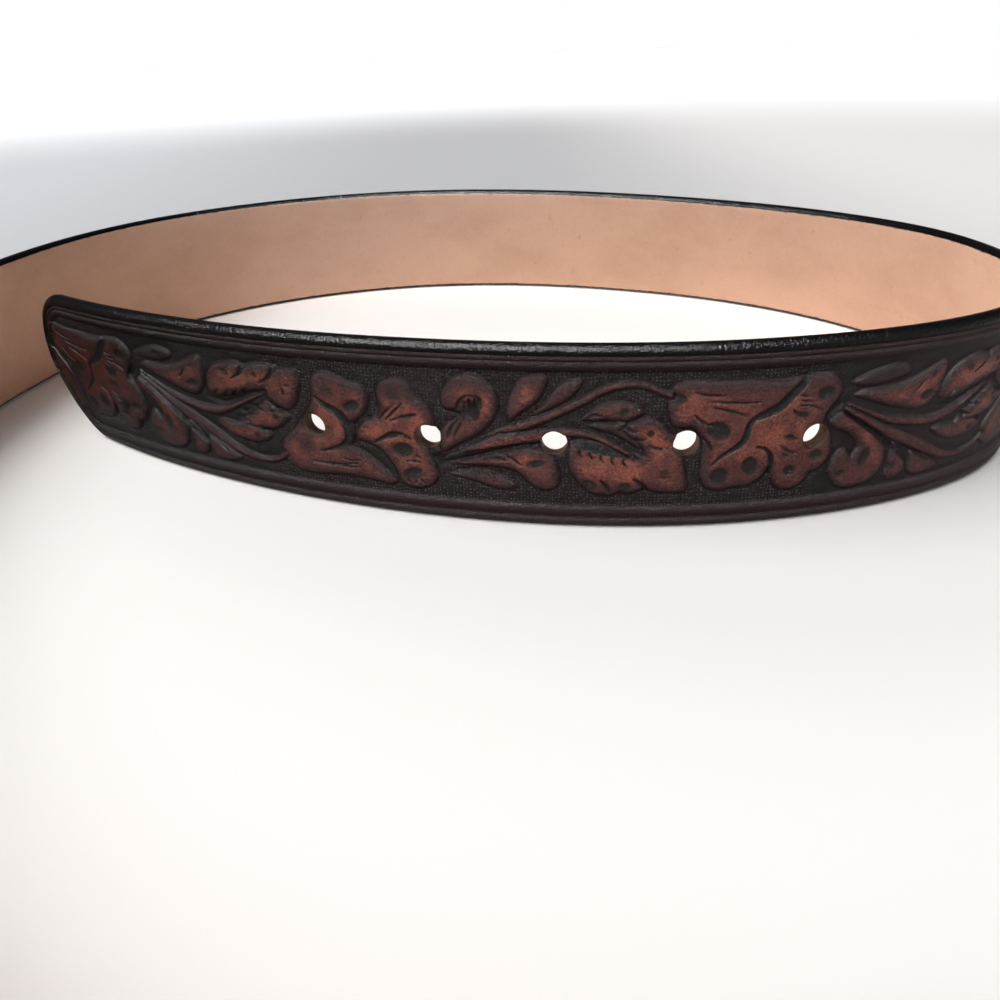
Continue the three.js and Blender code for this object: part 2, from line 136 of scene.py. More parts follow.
# Raised leaves, petals and flowers: how warm the middle is, 0 purple to 1 orange, and the outline's points.
# A point given twice is a corner. Later forms lie over earlier ones.
LEAVES = {
    "fan_top_lobe": (0.2, [
        (45.4, 28.6), (48.5, 30.1), (51.5, 31), (54.5, 31.4), (57.5, 30.8), (58.1, 29.2), (55, 28.1),
        (51.5, 27.7), (48, 27.8),
    ]),
    "fan_leaf": (0.8, [
        (46.2, 26), (46.2, 26), (49, 27.1), (53.3, 26.9), (57.8, 27.6), (61, 28.8), (64.2, 30.2),
        (66.5, 30.7), (66.9, 28.4), (66.4, 25), (65, 22.4), (62.2, 21.2), (58, 21.9), (53, 23.5),
        (49, 25),
    ]),
    "slashed_leaf": (0.75, [
        (67, 22.6), (66.9, 25), (68, 27.6), (70, 29.4), (73, 30.3), (76.4, 30.7), (78.4, 30), (78.4, 30),
        (81, 30.8), (84.4, 31.1), (86.2, 30.6), (86.2, 30.6), (88.6, 30.5), (91.5, 30.9), (91.5, 30.9),
        (92, 28.6), (91.4, 26), (90.2, 23.4), (88.2, 21.3), (85.8, 21.5), (83.7, 22.8), (82.6, 24.9),
        (82.6, 24.9), (78.5, 24.3), (74.5, 22.9), (70.5, 22),
    ]),
    "jagged_leaf": (0.95, [
        (66.8, 16.1), (66.8, 16.1), (69, 16.7), (71.5, 16.5), (73.6, 16.3), (74.3, 17), (76, 16.9),
        (75.4, 18.2), (77.2, 18.8), (76.9, 19.7), (78.8, 20.2), (80.2, 21.4), (82.4, 22.6), (82.4, 22.6),
        (84.8, 21), (87.4, 20.6), (87.8, 19.3), (86, 17.6), (83.6, 16.2), (80.9, 15.8), (80.9, 15.8),
        (82.2, 14.6), (81, 13.1), (78, 12.2), (75, 12), (71.4, 12.8), (68.8, 14.2),
    ]),
    "scroll_leaf": (0.5, [
        (45, 22.8), (48.2, 21.9), (51.2, 20.1), (54, 17.8), (56.2, 15), (57, 11.5), (56.2, 8.2),
        (53.6, 6.2), (49.8, 5.6), (46.6, 6.5), (44.7, 9.2), (44.5, 12), (45.6, 14.5), (47.4, 14.8),
        (48.8, 13.1), (48.8, 13.1), (49.6, 14.8), (48.4, 17), (46, 18.6), (43.4, 19.7), (43, 21.5),
    ]),
    "small_leaf": (0.2, [
        (58, 14.9), (58, 14.9), (60.6, 12.4), (62.5, 9.9), (62.4, 7.2), (60.1, 5.8), (58.1, 6.6),
        (57.9, 10),
    ]),
    "smooth_leaf": (0, [
        (63.2, 12.4), (63.2, 12.4), (66, 11), (69.2, 9), (72, 7.2), (70, 5.9), (66, 5.6), (63.5, 6.8),
        (63.1, 9.6),
    ]),
    "flower_a": (0.55, [
        (93.9, 26.4), (94.5, 29.1), (95.9, 30.4), (98.6, 30.7), (100.9, 29.8), (103.2, 28.9),
        (105.5, 28.6), (106.8, 26.8), (106.8, 25), (105.9, 22.7), (104.1, 20.9), (102.7, 20), (102.7, 20),
        (103, 18.2), (102.5, 16), (101.7, 14.7), (101.7, 14.7), (103.6, 14.1), (106.4, 12.3), (109.1, 10),
        (111.8, 7.6), (111.8, 7.6), (110, 6.6), (105.5, 7.1), (100.9, 7.5), (96.4, 7.2), (91.8, 6.8),
        (88.2, 7), (85.9, 8), (84.5, 9.5), (84.1, 11.8), (85, 14.1), (87.3, 16.4), (89.5, 18.6),
        (92.3, 21.8), (93.6, 24.1),
    ]),
    "petals_b": (0.8, [
        (108.5, 26.8), (109.5, 29.1), (111.4, 30.2), (114.1, 30.5), (115.9, 29.1), (116.8, 27.3),
        (118.6, 25.9), (120, 24.1), (120.6, 21.8), (120.1, 19), (119.2, 16.4), (119.2, 14.8),
        (120.2, 12.6), (120.8, 10.2), (119.6, 7.8), (116.8, 6.5), (113.6, 6.6), (111.9, 8), (111.9, 8),
        (111.3, 10), (109.9, 12.6), (107.6, 15), (105.4, 15.9), (103.4, 16.2), (103.4, 16.2),
        (103.2, 18.3), (104.9, 20.4), (107.7, 22.3), (108.9, 24.3),
    ]),
    "scroll_c": (0.5, [
        (122, 26.8), (122.7, 29.1), (124.5, 31.1), (127.3, 32), (129.8, 31.8), (132, 30.2), (133.4, 28.2),
        (133.6, 25.9), (133, 23.6), (131.4, 21.4), (129.1, 19.5), (124.5, 16.8), (121.8, 15), (121.8, 15),
        (121.1, 17.4), (121.6, 20), (123.2, 21.9), (125.4, 22.8), (125.9, 24), (124.6, 24.2),
        (123.2, 24.5), (122.2, 25.5),
    ]),
    "leaf_d": (0.7, [
        (135, 23.6), (135, 25.9), (135.9, 28.6), (137.5, 31.1), (139.5, 32.3), (142.3, 32.5),
        (143.1, 31.4), (142.5, 29.1), (140.9, 26.8), (138.6, 25), (135.6, 22.4), (135.6, 22.4),
    ]),
    "leaf_e": (0.5, [
        (139, 23.3), (139, 23.3), (141.8, 26.2), (143.6, 28.6), (145.5, 30.9), (147.7, 31.6),
        (149.8, 31.6), (149.8, 31.6), (149.5, 30.2), (148.2, 28.6), (146.2, 26.9), (142.7, 25.1),
    ]),
    "leaf_i": (0.8, [
        (121.8, 12.9), (121.8, 12.9), (127, 14.2), (132.7, 15.7), (138, 17), (141.2, 17.4), (143.6, 16.2),
        (144.9, 14.5), (145.6, 11.5), (145.2, 9.2), (143.2, 8.2), (140.9, 8.4), (139.1, 9.8),
        (137.5, 11.4), (135.2, 12.5), (130.5, 12.9), (126, 12.8),
    ]),
    "leaf_j": (0.3, [
        (122, 10.6), (122, 10.6), (125.9, 11.6), (129.5, 12.1), (133.6, 11.2), (136.4, 9.9), (136.9, 8.6),
        (135, 7.9), (132.3, 8), (129.1, 9), (125, 9.9),
    ]),
    "oak_shoulder": (0.5, [
        (150.5, 22.4), (150.5, 22.4), (153, 22.9), (157, 23.1), (159.5, 23.3), (162, 20), (161, 17.5),
        (158.5, 19), (155.5, 20.6), (152.5, 21.3),
    ]),
    "oak_leaf": (0.85, [
        (147.3, 18.6), (147, 15.5), (147.3, 13.2), (148.6, 10.9), (150.5, 8.6), (152.7, 7.5),
        (155.9, 7.4), (157.2, 8.1), (157.2, 8.1), (159.4, 7.8), (162, 8.6), (162, 8.6), (164.5, 8.1),
        (168.2, 7.8), (170.6, 8.2), (170.7, 10.5), (170, 13.2), (169.6, 15.5), (169.3, 18), (168.2, 20),
        (166.8, 20.7), (165.6, 22), (164.1, 23.4), (162.3, 24.1), (160.2, 23.6), (158.2, 22.6),
        (157.2, 21.4), (157.2, 21.4), (159.4, 19.4), (161.4, 17.6), (161.6, 16.2), (161.6, 16.2),
        (158.7, 17.2), (155.5, 18.4), (152, 19), (149.4, 19.3),
    ]),
    "leaf_l": (0.6, [
        (149.3, 23.5), (149.3, 23.5), (150.9, 25.2), (153.2, 26.8), (155.9, 27.4), (158.6, 27),
        (160.5, 26.1), (161.6, 25.1), (161.6, 25.1), (160, 24), (157.7, 23.2), (154.5, 23.5),
        (151.8, 23.3),
    ]),
    "flower_g": (0.6, [
        (165.5, 28.2), (166.8, 30.5), (170, 31.3), (174.5, 30.9), (181.4, 30.7), (187.3, 30.5), (191, 31),
        (195, 31.3), (197.5, 30.5), (199, 28.5), (199, 26.5), (197.7, 24.5), (196.8, 22.8), (196.8, 22.8),
        (197.2, 21), (198.4, 19), (199, 16.5), (199.2, 14), (197.6, 11.4), (195.3, 10.4), (195.3, 10.4),
        (194.3, 8.4), (191.5, 7.1), (188.7, 7.7), (187.2, 9.8), (186.4, 12), (186.4, 12), (185.6, 10.6),
        (183, 8.7), (179.8, 8.5), (176.8, 8), (174.3, 8.7), (173.1, 10.9), (172.8, 14.5), (172.9, 17),
        (172.3, 19.5), (170.6, 21.7), (168.3, 21.7), (166.6, 22.3), (165.9, 24.5), (165.5, 26.8),
    ]),
}

# Raised stems: how warm, widths from start to end in equal steps, and points of the middle line
STEMS = {
    "fan_ridge": (1, (0.8, 1.6, 2, 2.2, 2.1, 1.4, 0.4), [
        (45.6, 24.4), (49, 22.7), (53, 20.9), (57, 19.6), (61, 18.8), (65, 18.2), (69.1, 18.6),
        (73.6, 20.4), (78.2, 22.5), (82.6, 24.3),
    ]),
    "fan_vine": (0.5, (1.2, 2, 2.8, 3, 2.4, 1.6, 1.3), [
        (46, 23.2), (50, 20.9), (54, 18.4), (57.5, 16.6), (61, 14.9), (65.5, 12.7), (69.1, 10.7),
        (71.8, 9.4), (75.9, 8.3), (79.5, 8.1), (82.7, 8.9), (85, 10.4),
    ]),
    "long_stem": (0.7, (1.2, 1.9, 2, 2, 1.9, 1.7, 1.5, 1.4), [
        (121.9, 14.3), (126, 15.8), (129.5, 17.7), (133, 19.8), (136, 21.2), (140, 22.6), (143, 23.9),
        (146, 25.4), (150.3, 27.6), (152.8, 29.1), (155.3, 30.1), (158.4, 30.6), (161.3, 30.3),
        (163.6, 29.3), (166.2, 28.3),
    ]),
    "oak_stem": (1, (1.2, 2, 2.8, 3.4, 2.6, 2.8, 2, 1.6, 1.4, 1.2, 0.5), [
        (122.3, 13.9), (125.5, 15), (129, 16.4), (132, 17.8), (135, 18.8), (138.2, 19.4), (142.7, 20.2),
        (147.3, 20.8), (151, 20.4), (154, 19.2), (157, 17.4), (160.3, 15.3),
    ]),
}

# Cuts into the leaves, and dark gaps: widths from start to end in equal steps, and points of the middle line
CUTS = {
    "fan_slash_1": ((0.3, 0.9, 1.1), [(74.6, 26.8), (76.8, 28), (78.6, 30.3)]),
    "fan_slash_2": ((0.3, 0.9, 1.1), [(82, 26.7), (84.6, 28.3), (86.4, 30.9)]),
    "fan_slash_3": ((0.4, 0.8, 0.8), [(76.8, 16.3), (79, 16.1), (81.2, 15.5)]),
    "fan_slash_4": ((0.3, 0.7, 0.6), [(83.2, 20.2), (85.3, 20.9), (87.4, 20.3)]),
    "fan_shadow": ((0.4, 1.5, 0.3), [(66, 21.4), (71, 20.7), (75, 22), (79, 23.9)]),
    "fan_hatch_1": ((0.5, 0.4, 0.1), [(68.8, 22.6), (70.2, 23.6)]),
    "fan_hatch_2": ((0.5, 0.4, 0.1), [(71.4, 22.4), (73, 23.8)]),
    "fan_hatch_3": ((0.5, 0.4, 0.1), [(74, 23), (75.6, 24.5)]),
    "fan_hatch_4": ((0.5, 0.4, 0.1), [(76.8, 24), (78.2, 25.2)]),
    "fan_jag_1": ((0.9, 0.7, 0.1), [(73.9, 17.7), (75.6, 17.6), (77.6, 17.1)]),
    "fan_jag_2": ((0.9, 0.7, 0.1), [(75.4, 19.3), (77.4, 19.3), (79.4, 18.9)]),
    "fan_jag_3": ((0.9, 0.6, 0.1), [(77.6, 20.8), (79.4, 20.7), (81.2, 20.4)]),
    "fan_leaf_cut": ((0.2, 0.45, 0.2), [(59.5, 25), (60.9, 26.3), (61.6, 27.2)]),
    "fan_groove": ((0.5, 1.3, 0.7), [
        (45.4, 22.6), (49.2, 20.1), (53.4, 17.2), (57.3, 13.9), (60, 12), (62.2, 10),
    ]),
    "fan_groove_2": ((0.3, 0.8, 0.3), [(60.4, 13.5), (64.4, 11.3), (68.6, 8.5)]),
    "cleft_a": ((0.5, 1.6, 2, 1.9, 1.5, 0.8, 0.3), [
        (95, 25), (96.3, 23.9), (97.8, 23), (99.4, 22.2), (100.7, 20.9), (101.5, 19), (101.6, 17.1),
        (100.9, 15.6), (99.4, 14.4), (97.1, 13.6), (94.5, 12.8),
    ]),
    "cleft_a_heel": ((0.5, 1.4, 1.2), [(101, 20.4), (101.7, 18.8), (101.8, 17), (102.5, 15.4)]),
    "line_a_1": ((0.2, 0.6, 0.3), [(91.8, 10), (95, 10), (98, 10.1), (100.5, 10.5), (102.8, 10.9)]),
    "line_a_2": ((0.3, 0.5, 0.2), [(98.6, 10), (100.8, 9.8), (102.9, 10.1)]),
    "line_a_3": ((0.2, 0.35, 0.2), [(99.6, 11.6), (101.6, 11.4), (103.6, 11.7)]),
    "cut_b_1": ((0.3, 0.5, 0.1), [(109, 21.6), (110.8, 23.6), (112.7, 25)]),
    "cut_b_2": ((0.3, 0.5, 0.1), [(110.4, 21.6), (112.2, 23.4), (114.2, 25.4)]),
    "cut_b_3": ((0.3, 0.5, 0.1), [(111.4, 21.5), (113.8, 22.4), (116.8, 23)]),
    "cut_b_4": ((0.2, 0.4, 0.1), [(108.2, 21.7), (109, 23.3), (109.6, 24.6)]),
    "crescent_b": ((0.3, 1.5, 0.5), [
        (107.3, 16.3), (109.4, 17.5), (111.6, 18.4), (113.6, 18.5), (115.2, 17.8),
    ]),
    "stroke_b_1": ((0.2, 0.4, 0.2), [(114, 12.7), (115.6, 12.9), (117, 12.6)]),
    "stroke_b_5": ((0.2, 0.4, 0.2), [(116.2, 14.4), (117.2, 13.6)]),
    "stroke_b_2": ((0.2, 0.4, 0.2), [(114.2, 7.9), (113.8, 8.6)]),
    "stroke_b_3": ((0.2, 0.4, 0.2), [(115.8, 7.6), (115.7, 8.5)]),
    "stroke_b_4": ((0.2, 0.4, 0.2), [(117.4, 8), (117, 8.8)]),
    "hook_c": ((0.3, 0.7, 0.3), [(123.4, 24.6), (125.2, 25), (126, 26.4), (127.2, 27.6), (129.4, 27.8)]),
    "hook_c_mark": ((0.2, 0.9, 0.3), [(129.2, 28.1), (129.9, 26.8), (130.2, 25.4)]),
    "comb_c_1": ((0.5, 0.6, 0.1), [(126.9, 26.4), (126.9, 24.4), (126.6, 22.5)]),
    "comb_c_2": ((0.5, 0.7, 0.1), [(127.9, 27), (127.9, 24.4), (127.8, 21.9)]),
    "comb_c_3": ((0.5, 0.7, 0.1), [(129, 27.3), (129, 25), (129.1, 22.6)]),
    "comb_c_4": ((0.2, 0.5, 0.1), [(125, 22.4), (124, 20.6), (123.2, 18.8)]),
    "comb_c_5": ((0.2, 0.5, 0.1), [(126.1, 21.8), (125, 20), (124.6, 18.6)]),
    "wedge_h": ((2.2, 1.7, 1.2, 0.9, 0.3), [
        (121.8, 13.6), (123, 14), (126.8, 15.2), (130.7, 16.2), (134.5, 17.2), (138.8, 18), (140.6, 18.2),
    ]),
    "spur_h": ((0.2, 0.6, 0.2), [(137, 19.9), (139.8, 20.7), (142.8, 21.3)]),
    "line_i_1": ((0.2, 0.6, 0.2), [(130.5, 14.4), (133, 14.9), (135, 14.5)]),
    "line_i_2": ((0.2, 0.6, 0.2), [(134.8, 15.6), (136.4, 14.8), (137.8, 13.7)]),
    "comb_j_1": ((0.4, 0.5, 0.1), [(124.8, 11.4), (126.2, 10.7)]),
    "comb_j_2": ((0.4, 0.5, 0.1), [(126.4, 11.8), (127.8, 10.9)]),
    "comb_j_3": ((0.4, 0.5, 0.1), [(128.2, 12.1), (129.5, 11)]),
    "comb_j_4": ((0.4, 0.5, 0.1), [(130, 12.1), (131.3, 10.9)]),
    "comb_j_5": ((0.4, 0.5, 0.1), [(132, 11.7), (133, 10.7)]),
    "oak_vein": ((1, 2.2, 2, 1.2, 0.5), [
        (148, 18.9), (148.8, 18.5), (151.5, 17.9), (153.8, 17.2), (156.5, 16.4), (158.8, 15.7),
    ]),
    "oak_jag_1": ((0.7, 0.5, 0.1), [(149.6, 18), (149.2, 16.8), (149.8, 15.7)]),
    "oak_jag_2": ((0.7, 0.5, 0.1), [(151.6, 17.6), (151.3, 16.3), (152, 15.2)]),
    "oak_jag_3": ((0.7, 0.5, 0.1), [(153.8, 17.2), (153.4, 15.9), (154, 14.8)]),
    "oak_jag_4": ((0.7, 0.5, 0.1), [(156, 16.4), (155.6, 15.2), (156.2, 14.2)]),
    "oak_jag_5": ((0.7, 0.5, 0.1), [(158.2, 15.8), (157.8, 14.7), (158.6, 13.7)]),
    "oak_slash_1": ((0.3, 0.9, 0.6), [(153.5, 10.8), (154.6, 9.7), (155.3, 8.4)]),
    "oak_slash_2": ((0.3, 1, 0.9), [(159.9, 11.3), (161.3, 10.2), (162.6, 8.8)]),
    "oak_cut": ((0.2, 0.6, 0.3), [(162.4, 18.4), (164.2, 17.7), (166.2, 17.8)]),
    "oak_cut_2": ((0.6, 0.4, 0.1), [(158.2, 21.8), (159.4, 21.2), (160.4, 21.4)]),
    "oak_cut_3": ((0.6, 0.4, 0.1), [(159.8, 19.6), (161, 19.4), (162, 19.8)]),
    "leaf_l_cut": ((0.2, 0.5, 0.2), [(150.6, 24), (152, 24.6), (153.2, 24.4)]),
    "line_g_1": ((0.2, 0.45, 0.2), [(170.4, 28.9), (173.2, 28.3), (175.9, 28.1)]),
    "line_g_2": ((0.2, 0.45, 0.2), [(173.4, 27.1), (178, 26.6), (182.5, 26.5)]),
    "line_g_3": ((0.2, 0.5, 0.2), [(174.1, 25.8), (177.4, 25), (180.6, 23.8)]),
    "cleft_g": ((1.2, 1.8, 2, 1.8, 1.1, 1.2, 1.3, 0.8, 0.4), [
        (191.3, 30.6), (190.5, 29.4), (188.7, 27.5), (186.9, 25.5), (184.6, 24.2), (182.3, 23.2),
        (181.2, 21.7), (181, 19.8), (180.2, 18.2), (178.5, 16.9), (176.5, 15.5), (175, 14),
    ]),
    "cut_g_1": ((0.2, 0.6, 0.2), [(170.6, 24.6), (172.2, 23), (174, 22.2)]),
    "cut_g_2": ((0.2, 0.6, 0.2), [(172.4, 19.9), (173.6, 18.6), (174.7, 17)]),
    "groove_g": ((0.4, 1, 1), [(183.4, 17.2), (185, 16.8), (186.3, 15.2), (186.7, 12.8), (186.4, 11)]),
    "notch_g": ((0.8, 1.6, 1.6), [(196.4, 21.4), (197.3, 22.9), (198.9, 24.4)]),
    "dash_g_1": ((0.2, 0.4, 0.1), [(190.4, 27.2), (192.2, 26.9)]),
    "dash_g_2": ((0.2, 0.4, 0.1), [(190.8, 26.2), (193, 25.8)]),
    "dash_g_3": ((0.2, 0.4, 0.1), [(190.6, 25.2), (193.4, 24.8), (195.4, 23.9)]),
    "dash_g_4": ((0.2, 0.4, 0.1), [(189.4, 24.4), (190.4, 23.6)]),
    "dash_g_5": ((0.2, 0.4, 0.1), [(188, 17.2), (189.6, 16), (191.2, 15.3)]),
    "dash_g_6": ((0.2, 0.4, 0.1), [(188.6, 15.6), (190, 14.6)]),
}

# Stamped hollows: middle, length, width, tilt in degrees
EYELETS = {
    "fan_lobe": (53.8, 29.6, 1.7, 1.2, 0), "fan_leaf": (63, 24.2, 3.2, 2.1, 15),
    "fan_leaf_mark": (63.6, 28.1, 1.2, 0.8, 20), "slashed_1": (73.1, 28.1, 2.2, 1.4, -20),
    "slashed_2": (81, 28.4, 1.7, 1.2, -20), "slashed_3": (87.4, 25.5, 1, 2.2, 10),
    "slashed_4": (88.6, 26.9, 1.8, 0.7, 0), "jagged_1": (84.5, 19, 1.8, 1.2, 0),
    "jagged_2": (78.4, 14.1, 1.6, 1.2, 0), "scroll_leaf": (51.6, 12.6, 2.2, 4.6, -12),
    "scroll_end": (47, 9.6, 2.2, 1.5, 0), "small_leaf": (58.6, 9.2, 1.8, 1.4, 0),
    "a_top": (103, 23.9, 4, 2.3, 18), "b_1": (115.7, 22.8, 3, 1.1, 20), "b_2": (113.4, 15.2, 4.7, 3.3, 8),
    "b_3": (115.4, 10.1, 4.7, 2.8, 10), "knot": (120.6, 13, 2.6, 3.4, 0),
    "leaf_i": (140.8, 14.1, 3.8, 1.7, 10), "oak_1": (151.4, 9.9, 3.2, 1.9, -25),
    "oak_2": (158.4, 9.5, 2.6, 1.9, 0), "oak_lobe": (162.7, 20.9, 1.5, 1.5, 0),
    "leaf_l": (157.4, 25.2, 2.3, 1.3, 15), "g_calyx": (167.4, 27.6, 3.2, 2.2, 20),
    "g_big": (175.5, 21.1, 5, 3.7, -30), "g_low_1": (176.6, 11.4, 3.6, 3.8, 0),
    "g_low_2": (182.4, 13.3, 3.2, 4.2, 15), "g_top": (195.6, 27.3, 3.6, 2.8, 0),
    "g_mark": (191.6, 23.3, 2.6, 1.2, -10), "g_right": (195.8, 14.4, 3, 2.3, 0),
    "g_low_3": (190.6, 11.6, 2.7, 2.4, 0), "g_smudge": (189.8, 18.7, 2.8, 1.3, -15),
    "comb_c": (128.8, 24.6, 2.6, 4.4, 0), "comb_c_arc": (129.9, 26.8, 1, 1.8, 0),
}

# Two more hollows by the tip, which don't repeat
TIP_EYELETS = {"tip_upper": (35.1, 22.2, 4, 3.5, -20), "tip_lower": (36.3, 14.2, 4.2, 3, 0)}

# Warm or cool patches of the dye: middle, length, width, tilt, and how much warmer
GLOWS = {
    "fan_leaf": (58, 26.6, 15, 4, 15, 0.5), "slashed": (76, 26.2, 14, 5, 10, 0.55),
    "jagged": (76.5, 18, 9, 3.6, 25, 0.6), "scroll_leaf": (50, 18.5, 13, 6, -50, 0.6),
    "a_heart": (98.5, 18.6, 6, 9, 0, 0.5), "b_left": (107, 19, 9, 5, 15, 0.75),
    "b_right": (118, 20.6, 5, 7, 0, 0.6), "b_top": (111, 25, 5, 3, 0, 0.3),
    "c_top": (128, 28, 6, 3, 0, 0.4), "c_side": (132, 23, 3.4, 9, 0, 0.7),
    "d_heart": (139, 28, 3.6, 6, 0, 0.6), "stems": (135, 18.2, 27, 6, 15, 0.7),
    "i_strip": (136, 15.8, 18, 4, 10, 0.7), "oak": (155, 15, 17, 10, 0, 0.45),
    "oak_lobe": (163, 19.5, 7, 7, 0, 0.45), "g_left": (169, 25.6, 7, 8, 0, 0.45),
    "g_heart": (186, 19, 14, 9, 40, 0.5), "leaf_l": (155, 25.6, 6, 2.6, 0, 0.35),
    "g_petal": (176, 24.5, 8, 4, 0, 0.2), "a_foot": (95, 8.6, 20, 4, 0, -0.6),
    "b_foot": (115.4, 9, 9, 5, 0, -0.5), "c_crown": (127, 31, 10, 5, 0, -0.7),
    "d_crown": (141, 31.4, 5, 3, 0, -0.6), "i_foot": (142.5, 10.2, 7, 6, 0, -0.55),
    "j_foot": (131, 9.6, 12, 4, 0, -0.3), "oak_foot": (159, 8.6, 22, 4, 0, -0.6),
    "g_crown": (182, 29.6, 26, 4, 0, -0.6), "g_foot": (180, 10.4, 15, 7, 0, -0.75),
    "g_lobe": (193.6, 12.6, 10, 9, 0, -0.6), "g_end": (196, 27.4, 7, 6, 0, -0.55),
    "a_crown": (99, 28.6, 12, 4, 0, -0.3), "scroll_foot": (51, 8, 12, 6, 0, -0.5),
    "b_crown": (113, 28.6, 8, 4, 0, -0.4),
}

# Ground that was left smooth, without the matting of small dots: middle, length, width
SMOOTH_GROUND = {"flower_gap": (107.5, 11.6, 11, 9), "knot": (121.4, 14, 4.4, 5), "stem_gap": (146, 24, 8, 4)}
MATTING_FROM, MATTING_TO = 83, 195

# Soft dark hollows with speckles: middle, length, width, how dark
HOLLOWS = {
    "scroll_leaf": (46, 17, 6, 4, 0.8), "slashed": (74, 23.6, 12, 2.6, 0.6),
    "crescent": (78, 11.2, 14, 3, 0.3), "a_top": (98, 26.6, 5, 4.4, 0.75),
    "a_middle": (97.4, 18.2, 3, 5, 0.8), "a_left": (91, 13.6, 6, 6, 0.7),
    "a_hole": (90.8, 19.6, 2.6, 5, 0.8), "b_top": (112.2, 27.2, 4.6, 4.6, 0.9),
    "scroll_c": (128, 24.6, 5, 5.2, 0.85), "scroll_c_foot": (124, 20.4, 3.4, 3.6, 0.5),
    "oak_side": (153.8, 21.6, 9, 3.4, 0.7), "oak_right": (166, 12.3, 4.6, 3.4, 0.85),
    "oak_left": (150.6, 16.6, 7, 3, 0.5), "g_right": (189.8, 18.6, 3, 3, 0.6),
    "fan_leaf_low": (58, 23.2, 6, 2, 0.4), "oak_top": (160.6, 19.8, 3, 4, 0.6),
    "leaf_j": (128, 11.2, 8, 2.4, 0.7), "fan_crown": (52, 29.8, 16, 4.4, 0.85),
    "slashed_crown": (78, 30.6, 24, 2.6, 0.6), "vine_start": (51, 20.4, 10, 3, 0.4),
    "a_crown": (99, 30, 9, 1.6, 0.3),
}

# How far below the uncut leather each thing lies, in millimetres
CUT_DEPTH = 0.42
EYELET_DEPTH = 0.34
HOLLOW_DEPTH = 0.16
OUTLINE_DEPTH = 0.2
HOLE_RIM_DEPTH = 0.3
DEEPEST = 1.1

# The tooled border along each edge: distance in from the edge, and how far below the uncut leather
LOWER_BORDER = {
    "inset": [1.7, 2.1, 2.4, 2.7, 3.1, 4.1, 4.35, 4.6, 4.8, 4.95],
    "sunk": [0, 0.22, 0.5, 0.16, 0.06, 0.05, 0.14, 0.36, 0.54, 0.72],
}
UPPER_BORDER = {
    "inset": [1.7, 1.9, 2.15, 2.4, 2.6, 2.9, 3.02, 3.12, 3.26, 3.4, 3.54, 3.9, 4.4, 4.65, 4.9],
    "sunk": [0, 0.2, 0.55, 0.2, 0.08, 0.09, 0.24, 0.38, 0.26, 0.13, 0.02, 0.02, 0.06, 0.2, 0.72],
}

# The strap's mesh: fine rows as far as the photograph shows the front, and coarser ones after it
FINE_END = 252
FINE_STEP = 0.46
REST_STEP = 1.05
TIP_ROWS = 32
FINE_ROWS = 508
REST_ROWS = 600
SKIVE_ROWS = 14
FOLD_ROWS = (30, 6, 8, 16)
REACH = 2.5

HOLES = [FIRST_HOLE + HOLE_SPACING * k for k in range(HOLE_COUNT)]


def smoothstep(low, high, value):
    """0 below low, 1 above high, and a smooth rise between them."""
    share = np.clip((value - low) / (high - low), 0, 1)
    return share * share * (3 - 2 * share)


# The strap in the loop


def from_route(column, along):
    """Smooth value of one column of the route table."""
    at = np.array([row["along"] for row in ROUTE], float)
    value = np.array([row[column] for row in ROUTE], float)
    before, after = np.r_[at[0], at[:-1]], np.r_[at[1:], at[-1]]
    slope = (np.r_[value[1:], value[-1]] - np.r_[value[0], value[:-1]]) / (after - before)
    i = np.clip(np.searchsorted(at, along, side="right") - 1, 0, len(at) - 2)
    span = at[i + 1] - at[i]
    t = (along - at[i]) / span
    start = (1 + 2 * t) * (1 - t) ** 2 * value[i] + t * (1 - t) ** 2 * span * slope[i]
    end = t * t * (3 - 2 * t) * value[i + 1] + t * t * (t - 1) * span * slope[i + 1]
    return start + end


def fold_stretches():
    """Length and turn of each stretch of the fold round the bar, for the outer face."""
    closing = math.radians(LEAF_CLOSING_ANGLE)
    drop = 2 * FOLD_RADIUS - LEAF_DEEP
    bends = (FOLD_RADIUS + LEAF_CLOSING_RADIUS) * (1 - math.cos(closing))
    return [
        (FOLD_RADIUS * (math.pi + closing), 180 + LEAF_CLOSING_ANGLE),
        ((drop - bends) / math.sin(closing), 0),
        (LEAF_CLOSING_RADIUS * closing, -LEAF_CLOSING_ANGLE),
        (LEAF_LENGTH - SKIVE_LENGTH, 0),
    ]


FOLD = fold_stretches()
STRAP_END = BAR_ALONG + sum(length for length, turn in FOLD)


def heading_at(along):
    """Heading of the outer face in radians, also round the fold."""
    heading = from_route("heading", np.minimum(along, BAR_ALONG))
    start = BAR_ALONG
    for length, turn in FOLD:
        heading = heading + turn * np.clip((along - start) / length, 0, 1)
        start += length
    return np.radians(heading)


def outer_face_plan():
    """Distances from the tip and the plan's X and Y there, summed in short steps."""
    along = np.arange(0, STRAP_END + PLAN_STEP, PLAN_STEP)
    heading = heading_at(along[:-1] + PLAN_STEP / 2)
    x = TIP_START[0] + np.r_[0, np.cumsum(np.cos(heading))] * PLAN_STEP
    y = TIP_START[1] + np.r_[0, np.cumsum(np.sin(heading))] * PLAN_STEP
    return along, x, y


PLAN = outer_face_plan()


def thickness_at(along):
    """The leather's thickness, which is thinned before the fold."""
    skived = (along - BAR_ALONG + SKIVE_LENGTH) / (SKIVE_LENGTH * 0.8)
    return THICKNESS + (FOLD_THICKNESS - THICKNESS) * np.clip(skived, 0, 1)


